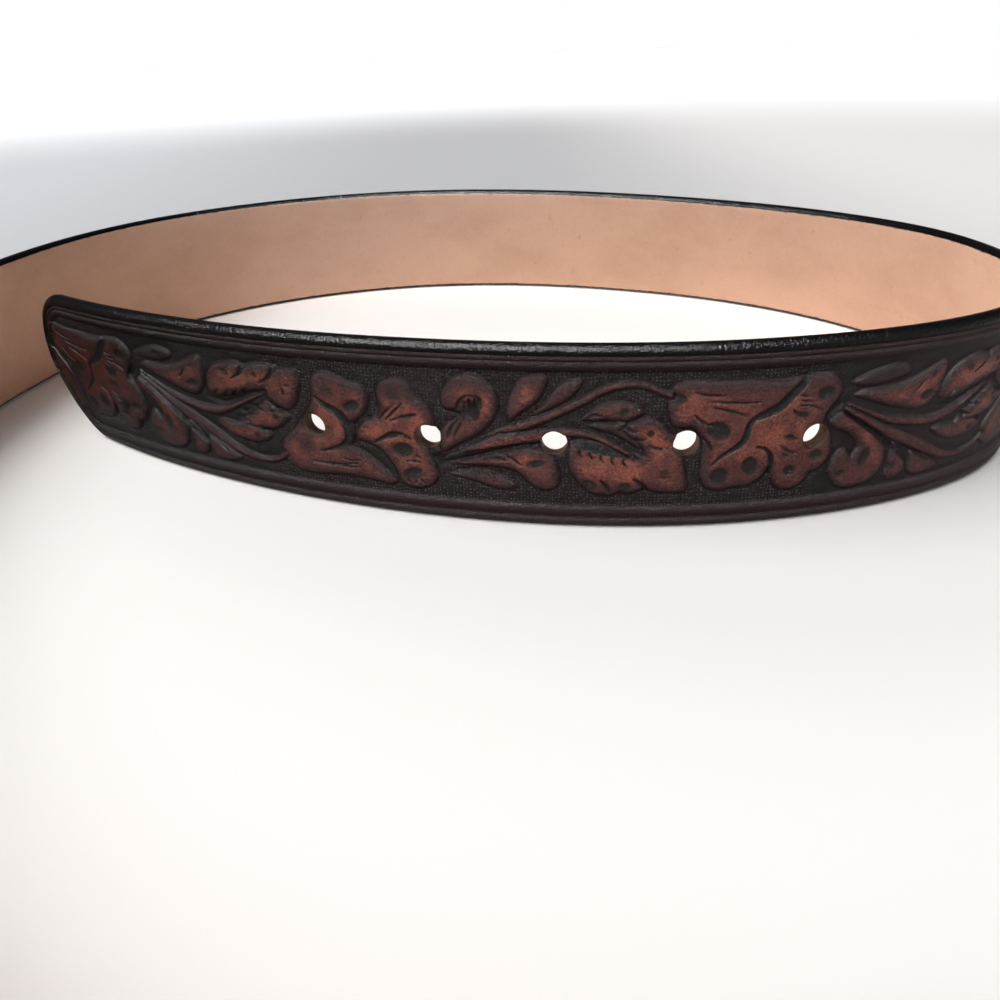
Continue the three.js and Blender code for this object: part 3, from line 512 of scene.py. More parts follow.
def bend(along, deep, high):
    """Points of the flat strap in the loop, in metres. A leaning strap turns about its lower corner."""
    heading = heading_at(along)
    lean = np.radians(from_route("lean", np.minimum(along, BAR_ALONG)))
    corner = np.where(lean > 0, thickness_at(along), 0)
    inward = corner + (deep - corner) * np.cos(lean) + high * np.sin(lean)
    rise = RISE * smoothstep(RISE_FROM, RISE_TO, along)
    up = high * np.cos(lean) - (deep - corner) * np.sin(lean) + rise
    x = np.interp(along, PLAN[0], PLAN[1]) - np.sin(heading) * inward
    y = np.interp(along, PLAN[0], PLAN[2]) + np.cos(heading) * inward
    return np.stack([x, y, up], 1) * MM


def bend_one(along, deep, high):
    """One point of the flat strap in the loop."""
    return Vector(bend(np.array([along], float), np.array([deep], float), np.array([high], float))[0])


def half_width(along):
    """Half the strap's width, which closes in a rounded point at the tip."""
    left = np.maximum(1 - along / TIP_LENGTH, 0)
    return np.maximum(WIDTH / 2 * (1 - left**1.8) ** 0.62, TIP_NOSE / 2)


# The chart of the carving


def smooth_line(points, closed=False, steps=5):
    """A smooth line through the points, as short straight pieces."""
    here = np.array(points, float)
    if closed:
        before, after, next_after = (np.roll(here, shift, axis=0) for shift in (1, -1, -2))
    else:
        padded = np.vstack([here[:1], here, here[-1:]])
        before, here, after, next_after = padded[:-3], padded[1:-2], padded[2:-1], padded[3:]
    t = (np.arange(steps) / steps)[None, :, None]
    a, b, c, d = (side[:, None, :] for side in (before, here, after, next_after))
    curve = 2 * b + (c - a) * t + (2 * a - 5 * b + 4 * c - d) * t**2 + (3 * b - a - 3 * c + d) * t**3
    line = curve.reshape(-1, 2) / 2
    return np.vstack([line, line[:1] if closed else np.array(points[-1:], float)])


def nearest(line, at):
    """Distance from each point to the line, the nearest point on it, and how far along the line that is."""
    start, step = line[:-1], np.diff(line, axis=0)
    size = np.maximum((step**2).sum(1), 1e-12)
    share = np.clip(((at[:, None] - start) * step).sum(2) / size, 0, 1)
    spots = start + share[..., None] * step
    gaps = ((at[:, None] - spots) ** 2).sum(2)
    best, rows = gaps.argmin(1), np.arange(len(at))
    lengths = np.sqrt(size)
    travelled = np.r_[0, np.cumsum(lengths)][best] + share[rows, best] * lengths[best]
    return np.sqrt(gaps[rows, best]), spots[rows, best], travelled / lengths.sum()


def inside(line, at):
    """Whether each point lies inside the closed line."""
    a, b = line[:-1], line[1:]
    rise = b[:, 1] - a[:, 1]
    rise = np.where(np.abs(rise) < 1e-9, 1e-9, rise)
    crosses = (a[:, 1] > at[:, 1:]) != (b[:, 1] > at[:, 1:])
    meets = a[:, 0] + (at[:, 1:] - a[:, 1]) * (b[:, 0] - a[:, 0]) / rise
    return (crosses & (at[:, :1] < meets)).sum(1) % 2 == 1


def stroke_width(widths, share):
    """Width of a stroke at a share of its length, from its widths in equal steps."""
    return np.interp(share, np.linspace(0, 1, len(widths)), widths)


class Chart:
    """What the pattern is at points of the outer face: distances in millimetres, positive inside a form."""

    def __init__(self, at):
        count = len(at)
        self.leaf = np.full(count, -REACH)
        self.cut = np.full(count, -REACH)
        self.pit = np.full(count, -REACH)
        self.core = np.zeros(count)
        self.warm = np.zeros(count)
        self.glow = np.zeros(count)
        self.hollow = np.zeros(count)
        self.matted = np.zeros(count)
        self.pull_gap = np.full(count, REACH)
        self.pull_to = at.copy()
        for repeat in range(FIRST_REPEAT, LAST_REPEAT + 1):
            shift = np.array([PATTERN_LENGTH * repeat - PATTERN_LEAD, 0])
            self.add_repeat(at - shift, shift)
        for spot in TIP_EYELETS.values():
            self.add_eyelet(at + (PATTERN_LEAD, 0), spot)
        self.warm = np.clip(self.warm * 0.5 + self.glow * 0.85, 0, 1)

    def add_repeat(self, local, shift):
        matted = smoothstep(MATTING_FROM - 2, MATTING_FROM + 1, local[:, 0])
        matted *= 1 - smoothstep(MATTING_TO - 1, MATTING_TO + 2, local[:, 0])
        for spot in SMOOTH_GROUND.values():
            matted *= 1 - smoothstep(0.2, 0.6, self.near_spot(local, spot))
        self.matted = np.maximum(self.matted, matted)
        for s, z, long, wide, tilt, strength in GLOWS.values():
            self.glow += strength * self.near_spot(local, (s, z, long, wide), tilt)
        for warm, points in LEAVES.values():
            self.add_form(local, shift, smooth_line(points, closed=True), warm)
        for warm, widths, points in STEMS.values():
            self.add_form(local, shift, smooth_line(points), warm, widths)
        for widths, points in CUTS.values():
            self.add_cut(local, shift, smooth_line(points), widths)
        for spot in EYELETS.values():
            self.add_eyelet(local, spot)
        for spot in HOLLOWS.values():
            self.add_hollow(local, spot)

    def close_to(self, local, low, high, reach=REACH):
        return np.nonzero(((local > low - reach) & (local < high + reach)).all(1))[0]

    def pull(self, rows, gap, spots, shift):
        closer = gap < self.pull_gap[rows]
        self.pull_gap[rows[closer]] = gap[closer]
        self.pull_to[rows[closer]] = spots[closer] + shift

    def add_form(self, local, shift, line, warm, widths=None):
        """A leaf inside a closed line, or a stem along an open one. It lies over what was there."""
        rows = self.close_to(local, line.min(0), line.max(0), REACH + 1)
        if not len(rows):
            return
        gap, spots, share = nearest(line, local[rows])
        if widths:
            outward = (local[rows] - spots) / np.maximum(gap, 1e-6)[:, None]
            half = stroke_width(widths, share) / 2
            depth, spots = half - gap, spots + outward * half[:, None]
            core = depth * 1.7 / np.maximum(half, 0.4)
        else:
            depth = np.where(inside(line, local[rows]), gap, -gap)
            core = depth
        covered, was = depth > 0, self.leaf[rows]
        beside = np.where(was > 0, np.minimum(was, -depth), np.maximum(was, depth))
        self.leaf[rows] = np.where(covered, depth, beside)
        self.core[rows] = np.where(covered, core, self.core[rows])
        self.pull_gap[rows[covered]] = REACH
        self.warm[rows[covered]] = warm
        self.pull(rows, np.abs(depth), spots, shift)

    def add_cut(self, local, shift, line, widths):
        rows = self.close_to(local, line.min(0), line.max(0))
        if not len(rows):
            return
        gap, spots, share = nearest(line, local[rows])
        self.cut[rows] = np.maximum(self.cut[rows], stroke_width(widths, share) / 2 - gap)
        self.pull(rows, gap * 0.7, spots, shift)

    def add_eyelet(self, local, spot):
        s, z, long, wide, tilt = spot
        rows = self.close_to(local, np.array([s, z]) - long, np.array([s, z]) + long)
        away = self.spot_radius(local[rows], (s, z, long, wide), tilt)
        self.pit[rows] = np.maximum(self.pit[rows], (1 - away) * min(long, wide) / 2)

    def add_hollow(self, local, spot):
        self.hollow = np.maximum(self.hollow, spot[4] * self.near_spot(local, spot[:4]))

    def spot_radius(self, local, spot, tilt=0):
        """How far points are from a spot's middle, 1 at the rim of its oval."""
        s, z, long, wide = spot
        turn = math.radians(tilt)
        away = local - (s, z)
        x = (away[:, 0] * math.cos(turn) + away[:, 1] * math.sin(turn)) * 2 / long
        y = (away[:, 1] * math.cos(turn) - away[:, 0] * math.sin(turn)) * 2 / wide
        return np.hypot(x, y)

    def near_spot(self, local, spot, tilt=0):
        """1 at a spot's middle, fading past its rim."""
        return np.exp(-1.3 * self.spot_radius(local, spot, tilt) ** 2)


# The strap


def stations():
    """Distances from the tip of the front, fine rows, and of the rest."""
    tip = TIP_LENGTH * (np.arange(TIP_ROWS) / TIP_ROWS) ** 1.6
    front = np.linspace(TIP_LENGTH, FINE_END, FINE_ROWS)
    rest = np.linspace(FINE_END, BAR_ALONG - SKIVE_LENGTH, REST_ROWS)
    parts, start = [rest, np.linspace(BAR_ALONG - SKIVE_LENGTH, BAR_ALONG, SKIVE_ROWS)], BAR_ALONG
    for (length, _), steps in zip(FOLD, FOLD_ROWS):
        parts.append(np.linspace(start, start + length, steps))
        start += length
    return np.unique(np.r_[tip, front].round(5)), np.unique(np.concatenate(parts).round(5))


def columns(field_step):
    """Heights of the columns round the strap's section: up the outer face, and down the inner one."""
    edge = [0, 0.12, 0.4, 0.85, 1.3, ROLL]
    bottom = [2.05, 2.4, 2.75, 3.6, 4.1, 4.35, 4.6, 4.8, 5]
    top = [1.9, 2.1, 2.35, 2.9, 3.02, 3.12, 3.26, 3.4, 3.54, 4, 4.6, 4.85, 5.1]
    if field_step > 0.8:
        bottom, top = [2.4, 2.75, 4.5, 5], [2.1, 2.4, 3.15, 3.5, 4.6, 5.1]
        edge = [0, 0.15, 0.7, ROLL]
    low, high = bottom[-1], WIDTH - top[-1]
    field = np.linspace(low, high, int((high - low) / field_step) + 1)[1:-1]
    outer = np.r_[edge, bottom, field, WIDTH - np.array(top[::-1]), WIDTH - np.array(edge[::-1])]
    inner = np.r_[WIDTH - 0.3, WIDTH - 1, WIDTH - 2, 28, 19, 10, 2, 1, 0.3]
    return np.r_[outer, inner], np.r_[np.zeros(len(outer)), np.ones(len(inner))]


def tip_outline():
    """The strap's outline round its point, in along and high."""
    along = np.linspace(0, 1, 90) ** 2 * 45
    half = half_width(along)
    up, down = np.stack([along, WIDTH / 2 + half], 1), np.stack([along, WIDTH / 2 - half], 1)
    return np.vstack([up[::-1], down])


def edge_distance(along, high):
    """How far points are from the strap's outline."""
    gap = np.minimum(high, WIDTH - high)
    near_tip = along < 30
    gap[near_tip] = nearest(tip_outline(), np.stack([along, high], 1)[near_tip])[0]
    return gap


def flat_tube(rows, field_step):
    """A closed tube of the strap in flat terms, from a grid whose first and last columns meet."""
    heights, inner = columns(field_step)
    bm = bmesh.new()
    bmesh.ops.create_grid(bm, x_segments=len(rows) - 1, y_segments=len(heights), size=1)
    grid = np.array([vertex.co for vertex in bm.verts])
    row = ((grid[:, 0] + 1) / 2 * (len(rows) - 1)).round().astype(int)
    column = ((grid[:, 1] + 1) / 2 * len(heights)).round().astype(int) % len(heights)
    along, straight, on_inner = rows[row], heights[column], inner[column] > 0
    half = half_width(along)
    from_edge = np.minimum(straight, WIDTH - straight)
    rim = np.minimum(ROLL, half * 0.8)
    past_rim = rim + (from_edge - ROLL) * (half - rim) / (WIDTH / 2 - ROLL)
    from_edge = np.where(from_edge < ROLL, from_edge * rim / ROLL, past_rim)
    side = np.where(straight > WIDTH / 2, 1, -1)
    high = WIDTH / 2 + side * (half - from_edge)
    gap = edge_distance(along, high)
    roundness = np.sqrt(1 - (1 - np.clip(gap / ROLL, 0, 1)) ** 2)
    roundness = np.where((straight == 0) | (straight == WIDTH), 0, np.maximum(roundness, 0.12))
    deep = THICKNESS / 2 * (1 + np.where(on_inner, 1, -1) * roundness)
    for vertex, place in zip(bm.verts, np.stack([along, deep, high], 1)):
        vertex.co = place
    bmesh.ops.remove_doubles(bm, verts=bm.verts, dist=1e-4)
    return bm


def end_ring(bm, along):
    """The open end of a tube, at that distance from the tip."""
    rims = [edge for edge in bm.edges if edge.is_boundary]
    return [edge for edge in rims if all(abs(vertex.co.x - along) < 1e-3 for vertex in edge.verts)]


def flat_blank():
    """The whole strap in flat terms: two tubes, bridged, with closed ends."""
    front_rows, rest_rows = stations()
    joint = 1.0
    bm = flat_tube(front_rows, FINE_STEP)
    rest_rows = np.r_[rest_rows[0] + joint, rest_rows[rest_rows > rest_rows[0] + joint + 0.3]]
    other = bpy.data.meshes.new("rest_of_strap")
    rest = flat_tube(rest_rows, REST_STEP)
    rest.to_mesh(other)
    rest.free()
    bm.from_mesh(other)
    bpy.data.meshes.remove(other)
    bmesh.ops.bridge_loops(bm, edges=end_ring(bm, front_rows[-1]) + end_ring(bm, rest_rows[0]))
    bmesh.ops.holes_fill(bm, edges=[edge for edge in bm.edges if edge.is_boundary], sides=0)
    bmesh.ops.recalc_face_normals(bm, faces=bm.faces)
    return bm


def cutter_bar(bm, along, high, radius, deep=THICKNESS / 2, sides=40):
    """A round bar through the flat strap."""
    place = Matrix.Translation((along, deep, high)) @ Matrix.Rotation(math.pi / 2, 4, "X")
    bmesh.ops.create_cone(
        bm, cap_ends=True, segments=sides, radius1=radius, radius2=radius, depth=THICKNESS * 4, matrix=place
    )


def leaf_along(behind):
    """The distance from the tip at which the folded leaf lies that far behind the bar."""
    closing = math.radians(LEAF_CLOSING_ANGLE)
    straight = FOLD[1][0] * math.cos(closing)
    reach = FOLD_RADIUS * math.sin(closing) + straight + LEAF_CLOSING_RADIUS * math.sin(closing)
    return BAR_ALONG + FOLD[0][0] + FOLD[1][0] + FOLD[2][0] + behind - reach


def cutters():
    """Everything that is punched through the strap."""
    bm = bmesh.new()
    for along in HOLES:
        cutter_bar(bm, along, HOLE_HIGH, HOLE_DIAMETER / 2)
    for behind in POSTS_BEHIND_BAR.values():
        cutter_bar(bm, BAR_ALONG - behind, WIDTH / 2, POST_HOLE_RADIUS)
        cutter_bar(bm, leaf_along(behind), WIDTH / 2, POST_HOLE_RADIUS)
    closing = math.radians(LEAF_CLOSING_ANGLE)
    on_straight = (SLOT_BEHIND_BAR - FOLD_RADIUS * math.sin(closing)) / math.cos(closing)
    slot_from, slot_to = BAR_ALONG - SLOT_BEHIND_BAR, BAR_ALONG + FOLD[0][0] + on_straight
    slot = bmesh.new()
    cutter_bar(slot, 0, WIDTH / 2, SLOT_WIDTH / 2, sides=24)
    for vertex in slot.verts:
        end = slot_to - SLOT_WIDTH / 2 if vertex.co.x > 1e-4 else slot_from + SLOT_WIDTH / 2
        vertex.co.x += end
    mesh = bpy.data.meshes.new("punches")
    slot.to_mesh(mesh)
    slot.free()
    bm.from_mesh(mesh)
    bmesh.ops.recalc_face_normals(bm, faces=bm.faces)
    bm.to_mesh(mesh)
    bm.free()
    return mesh


def punched(bm):
    """The blank as a mesh, with its holes cut."""
    mesh = bpy.data.meshes.new("strap_blank")
    bm.to_mesh(mesh)
    bm.free()
    blank = bpy.data.objects.new("strap_blank", mesh)
    punch = bpy.data.objects.new("punches", cutters())
    for item in (blank, punch):
        bpy.context.scene.collection.objects.link(item)
    cut = blank.modifiers.new("holes", "BOOLEAN")
    cut.operation, cut.solver, cut.object = "DIFFERENCE", "EXACT", punch
    graph = bpy.context.evaluated_depsgraph_get()
    result = bpy.data.meshes.new_from_object(blank.evaluated_get(graph))
    for item in (blank, punch):
        data = item.data
        bpy.data.objects.remove(item)
        bpy.data.meshes.remove(data)
    return result


def middle_of(edge):
    return [(a + b) / 2 for a, b in zip(*(vertex.co for vertex in edge.verts))]


def refined(mesh):
    """The mesh with shorter edges by the front's narrow cuts, which gives the cuts vertices of their own."""
    bm = bmesh.new()
    bm.from_mesh(mesh)
    front = [
        edge for edge in bm.edges
        if all(vertex.co.y < THICKNESS * 0.3 and 8 < vertex.co.x < FINE_END - 0.3 for vertex in edge.verts)
    ]
    middles = np.array([middle_of(edge) for edge in front])
    along, high = middles[:, 0], middles[:, 2]
    by_cut = np.abs(Chart(np.stack([along, high], 1)).cut - 0.02) < 0.3
    by_cut &= (border_inset(along, high) > FIELD_INSET) & (hole_distance(along, high) > 0.5)
    crossing = [edge for edge, near in zip(front, by_cut) if near]
    bmesh.ops.subdivide_edges(bm, edges=crossing, cuts=1, use_grid_fill=True)
    bm.to_mesh(mesh)
    bm.free()
    return mesh


def hole_distance(along, high):
    """How far points are outside the nearest hole's rim."""
    return np.min([np.hypot(along - at, high - HOLE_HIGH) for at in HOLES], axis=0) - HOLE_DIAMETER / 2


def border_inset(along, high):
    """Distance in from the edge that the border follows: round the tip, and across before the fold."""
    return np.minimum(edge_distance(along, high), FIELD_END - along)


def border_relief(inset, on_top):
    """How far below the uncut leather the tooled border lies."""
    upper, lower = (np.interp(inset, side["inset"], side["sunk"]) for side in (UPPER_BORDER, LOWER_BORDER))
    return np.where(on_top, upper, lower)


def field_relief(chart):
    """How far below the uncut leather the carved field lies."""
    rise = smoothstep(-0.1, 0.8, chart.leaf)
    crown = 1 - np.exp(-np.maximum(chart.leaf, 0) / 2)
    relief = GROUND_DEPTH * (1 - 0.76 * rise - 0.24 * crown)
    relief += OUTLINE_DEPTH * np.exp(-np.abs(chart.leaf + 0.1) / 0.35)
    relief += CUT_DEPTH * smoothstep(-0.3, 0.5, chart.cut)
    relief += EYELET_DEPTH * smoothstep(-0.5, 0.7, chart.pit)
    relief += HOLLOW_DEPTH * np.minimum(chart.hollow, 1)
    return np.minimum(relief, DEEPEST)


def strap():
    """The strap, carved in flat terms and then bent into the loop."""
    mesh = refined(punched(flat_blank()))
    flat = np.zeros(len(mesh.vertices) * 3)
    mesh.vertices.foreach_get("co", flat)
    along, deep, high = flat.reshape(-1, 3).T.copy()
    outer = deep < THICKNESS * 0.3
    rim_gap = hole_distance(along, high)

    # Points next to a charted line move onto it, so that the mesh follows the carving
    free = outer & (border_inset(along, high) > FIELD_INSET + 0.3) & (rim_gap > 0.5) & (along > 6)
    rows = np.nonzero(free)[0]
    chart = Chart(np.stack([along, high], 1)[rows])
    cell = np.where(along[rows] < FINE_END, FINE_STEP, REST_STEP)
    cell[(np.abs(chart.cut) < 0.4) & (along[rows] < FINE_END)] = FINE_STEP / 2
    moved = chart.pull_gap < cell * 0.45
    along[rows[moved]], high[rows[moved]] = chart.pull_to[moved].T

    chart = Chart(np.stack([along, high], 1))
    inset = border_inset(along, high)
    in_field = smoothstep(FIELD_INSET - 0.25, FIELD_INSET + 0.1, inset)
    handled = 1 - 0.55 * (1 - smoothstep(8, 34, along))
    border, field = border_relief(inset, high > WIDTH / 2), field_relief(chart)
    relief = border * (1 - in_field) + field * in_field * handled
    relief += HOLE_RIM_DEPTH * np.exp(-np.maximum(rim_gap, 0) / 0.5)
    relief *= outer * thickness_at(along) / THICKNESS

    store(mesh, "leaf", np.where(outer, chart.leaf, -REACH))
    for name in ("core", "cut", "pit", "warm", "hollow", "matted"):
        store(mesh, name, getattr(chart, name))
    store(mesh, "inset", inset)
    store(mesh, "rim", rim_gap)
    store_place(mesh, "flat", np.stack([along, deep, high], 1))

    sink = deep * thickness_at(along) / THICKNESS + relief
    mesh.vertices.foreach_set("co", bend(along, sink, high).ravel())
    return shaded(finished(mesh, "carved_strap"), deep, inset, high > WIDTH / 2)


def store(mesh, name, values):
    mesh.attributes.new(name, "FLOAT", "POINT").data.foreach_set("value", values.astype(np.float32))


def store_place(mesh, name, values):
    numbers = values.astype(np.float32).ravel()
    mesh.attributes.new(name, "FLOAT_VECTOR", "POINT").data.foreach_set("vector", numbers)


def finished(mesh, name):
    """Triangles along the shorter diagonals, in an object of its own."""
    bm = bmesh.new()
    bm.from_mesh(mesh)
    bmesh.ops.triangulate(bm, faces=bm.faces, quad_method="SHORT_EDGE", ngon_method="BEAUTY")
    bm.to_mesh(mesh)
    bm.free()
    mesh.name = name
    piece = bpy.data.objects.new(name, mesh)
    bpy.context.scene.collection.objects.link(piece)
    return piece


def shaded(piece, deep, inset, upper):
    """Smooth faces, the inner face in the second material and the upper rolled edge in the third."""
    mesh = piece.data
    mesh.shade_smooth()
    corners = np.zeros(len(mesh.polygons) * 3, int)
    mesh.polygons.foreach_get("vertices", corners)
    corners = corners.reshape(-1, 3)
    inner = (deep[corners] > THICKNESS * 0.86).all(1)
    rolled = ((inset < 2.12) & upper)[corners].all(1) & ~inner
    mesh.polygons.foreach_set("material_index", inner + rolled * 2)
    return piece


# The buckle end


def new_piece(name, bm):
    """A piece from a finished bmesh, in metres, with smooth faces between its sharp edges."""
    mesh = bpy.data.meshes.new(name)
    bm.to_mesh(mesh)
    bm.free()
    mesh.shade_smooth()
    mesh.set_sharp_from_angle(angle=math.radians(42))
    piece = bpy.data.objects.new(name, mesh)
    bpy.context.scene.collection.objects.link(piece)
    return piece


def block(bm, size, middle):
    """A box of that size round a middle point, both in millimetres."""
    matrix = Matrix.Translation(middle) @ Matrix.Diagonal((*size, 1))
    return bmesh.ops.create_cube(bm, size=1, matrix=matrix)["verts"]


def edges_along(bm, axis):
    """The straight edges that run along one axis."""
    return [e for e in bm.edges if abs((e.verts[0].co - e.verts[1].co).normalized()[axis]) > 0.999]


def rounded(bm, edges, radius, segments):
    bmesh.ops.bevel(
        bm, geom=edges, offset=radius, offset_type="OFFSET", segments=segments, profile=0.5,
        affect="EDGES", clamp_overlap=True, material=-1,
    )


def keeper_loop():
    """A band of leather with a crease along each rim."""
    low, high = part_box("keeper_loop")
    middle, size = (low + high) / 2 / MM, (high - low) / MM
    crease_in, crease_deep = 1.9, 0.3
    bm = bmesh.new()
    block(bm, size, middle)
    rounded(bm, edges_along(bm, 0), KEEPER_CORNER, 10)
    ends = [face for face in bm.faces if abs(face.normal.x) > 0.9]
    bmesh.ops.delete(bm, geom=ends, context="FACES_ONLY")
    for offset in (0.6, crease_in - 0.5, crease_in, crease_in + 0.5):
        for side in (-1, 1):
            spot = middle + Vector((side * (size.x / 2 - offset), 0, 0))
            everything = bm.verts[:] + bm.edges[:] + bm.faces[:]
            bmesh.ops.bisect_plane(bm, geom=everything, plane_co=spot, plane_no=(1, 0, 0), dist=1e-5)
    for edge in list(bm.edges):
        if edge.calc_length() > 6 and abs((edge.verts[0].co - edge.verts[1].co).normalized().x) < 0.1:
            bmesh.ops.subdivide_edges(bm, edges=[edge], cuts=7)
    bm.normal_update()
    for vertex in bm.verts:
        if abs(abs(vertex.co.x - middle.x) - (size.x / 2 - crease_in)) < 0.01:
            vertex.co -= vertex.normal * crease_deep
    bmesh.ops.recalc_face_normals(bm, faces=bm.faces[:])
    if sum(face.normal.dot(face.calc_center_median() - middle) for face in bm.faces) < 0:
        bmesh.ops.reverse_faces(bm, faces=bm.faces)
    bmesh.ops.solidify(bm, geom=bm.faces[:], thickness=KEEPER_LEATHER)
    rims = [e for e in bm.edges if len(e.link_faces) == 2 and e.calc_face_angle(0) > 1.2]
    rounded(bm, rims, 0.5, 3)
    bmesh.ops.scale(bm, vec=(MM, MM, MM), verts=bm.verts)
    return new_piece("keeper_band", bm)


def buckle_frame(bm, bar):
    """A flat frame with rounded corners round its window, its heel bar in the fold."""
    middle = bar + Vector((BUCKLE_LENGTH / 2 - BUCKLE_RIM / 2, 0, 0))
    block(bm, (BUCKLE_LENGTH, BUCKLE_THICKNESS, BUCKLE_HEIGHT), middle)
    rounded(bm, edges_along(bm, 1), BUCKLE_CORNER, 10)
    flats = [face for face in bm.faces if abs(face.normal.y) > 0.9]
    bmesh.ops.inset_individual(bm, faces=flats, thickness=BUCKLE_RIM, use_even_offset=True)
    rims = [edge for face in flats for edge in face.edges]
    bmesh.ops.delete(bm, geom=flats, context="FACES_ONLY")
    bmesh.ops.bridge_loops(bm, edges=rims)
    sharp = [edge for edge in bm.edges if len(edge.link_faces) == 2 and edge.calc_face_angle(0) > 1.2]
    rounded(bm, sharp, 0.8, 4)


def prong_line():
    """The middle line of the prong, as distance in front of the bar and height over its middle."""
    reach = BUCKLE_LENGTH - BUCKLE_RIM / 2 + PRONG_OVERHANG
    lift = BUCKLE_THICKNESS / 2 + GAP + PRONG_THICKNESS / 2
    rising = [(2, 0), (6, 0), (12, 0.5), (19, 1.8), (26, lift - 0.1)]
    return smooth_line(rising + [(reach - 4, lift), (reach - 0.6, lift - 0.05)], steps=4)


def prong(bm, bar):
    """A rounded prong: rings extruded along its line, a domed end, and a sleeve round the bar."""
    line = prong_line()
    start = bar + Vector((line[0][0], -line[0][1], 0))
    turn = Matrix.Translation(start) @ Matrix.Rotation(math.pi / 2, 4, "Y")
    ring = bmesh.ops.create_circle(bm, cap_ends=True, segments=16, radius=1, matrix=turn)["verts"]
    for vertex in ring:
        away = vertex.co - start
        vertex.co = start + Vector((0, away.y * PRONG_THICKNESS / 2, away.z * PRONG_WIDTH / 2))
    face = ring[0].link_faces[0]
    count = len(line) - 1
    for k in range(count):
        step = Vector((line[k + 1][0] - line[k][0], -(line[k + 1][1] - line[k][1]), 0))
        face = extruded(bm, face)
        bmesh.ops.translate(bm, vec=step, verts=face.verts)
        narrow = 0.82 if k == count - 1 else (0.9 if k == count - 2 else 1)
        middle = face.calc_center_median()
        for vertex in face.verts:
            vertex.co = middle + (vertex.co - middle) * narrow
    face = extruded(bm, face)
    middle = face.calc_center_median()
    for vertex in face.verts:
        vertex.co = middle + (vertex.co - middle) * 0.4 + Vector((0.5, 0, 0))
    sleeve = bmesh.ops.create_cone(
        bm, cap_ends=True, segments=32, radius1=SLEEVE_RADIUS, radius2=SLEEVE_RADIUS, depth=PRONG_WIDTH,
        matrix=Matrix.Translation(bar),
    )["verts"]
    around = set(sleeve)
    rims = [
        edge for edge in bm.edges
        if around.issuperset(edge.verts) and abs((edge.verts[0].co - edge.verts[1].co).z) < 1e-4
    ]
    rounded(bm, rims, 0.5, 3)


def extruded(bm, face):
    """The face moved off its place, with walls where it was."""
    made = bmesh.ops.extrude_face_region(bm, geom=[face])["geom"]
    bmesh.ops.delete(bm, geom=[face], context="FACES_ONLY")
    return next(item for item in made if isinstance(item, bmesh.types.BMFace))


def buckle():
    bar = bend_one(BAR_ALONG, FOLD_RADIUS, WIDTH / 2) / MM
    bm = bmesh.new()
    buckle_frame(bm, bar)
    prong(bm, bar)
    bmesh.ops.recalc_face_normals(bm, faces=bm.faces)
    bmesh.ops.scale(bm, vec=(MM, MM, MM), verts=bm.verts)
    return new_piece("buckle_frame_and_prong", bm)


def fold_post(name, behind):
    """A shank with a low dome on each side, turned from half its outline."""
    start = bend_one(BAR_ALONG - behind, 0, WIDTH / 2) / MM
    inner = LEAF_DEEP + GAP
    dome = [(0, 1), (1.4, 0.97), (2.6, 0.8), (3.4, 0.52), (3.85, 0.2), (POST_HEAD_RADIUS, 0)]
    outline = [(r, -GAP - up * POST_HEAD_HEIGHT) for r, up in dome]
    outline += [(POST_RADIUS, -GAP), (POST_RADIUS, inner)]
    outline += [(r, inner + up * POST_HEAD_HEIGHT) for r, up in reversed(dome)]
    bm = bmesh.new()
    spots = [bm.verts.new(start + Vector((r, deep, 0))) for r, deep in outline]
    edges = [bm.edges.new(pair) for pair in zip(spots, spots[1:])]
    bmesh.ops.spin(
        bm, geom=spots + edges, cent=start, axis=(0, 1, 0), angle=math.tau, steps=40, use_merge=True
    )
    bmesh.ops.remove_doubles(bm, verts=bm.verts, dist=1e-4)
    bmesh.ops.recalc_face_normals(bm, faces=bm.faces)
    bmesh.ops.scale(bm, vec=(MM, MM, MM), verts=bm.verts)
    return new_piece(name + "_turned", bm)


# Materials


def paint(red, green, blue):
    """A colour given as it looks, from 0 to 255, for a shader."""
    parts = [c / 255 for c in (red, green, blue)]
    return tuple(c / 12.92 if c <= 0.04045 else ((c + 0.055) / 1.055) ** 2.4 for c in parts) + (1,)


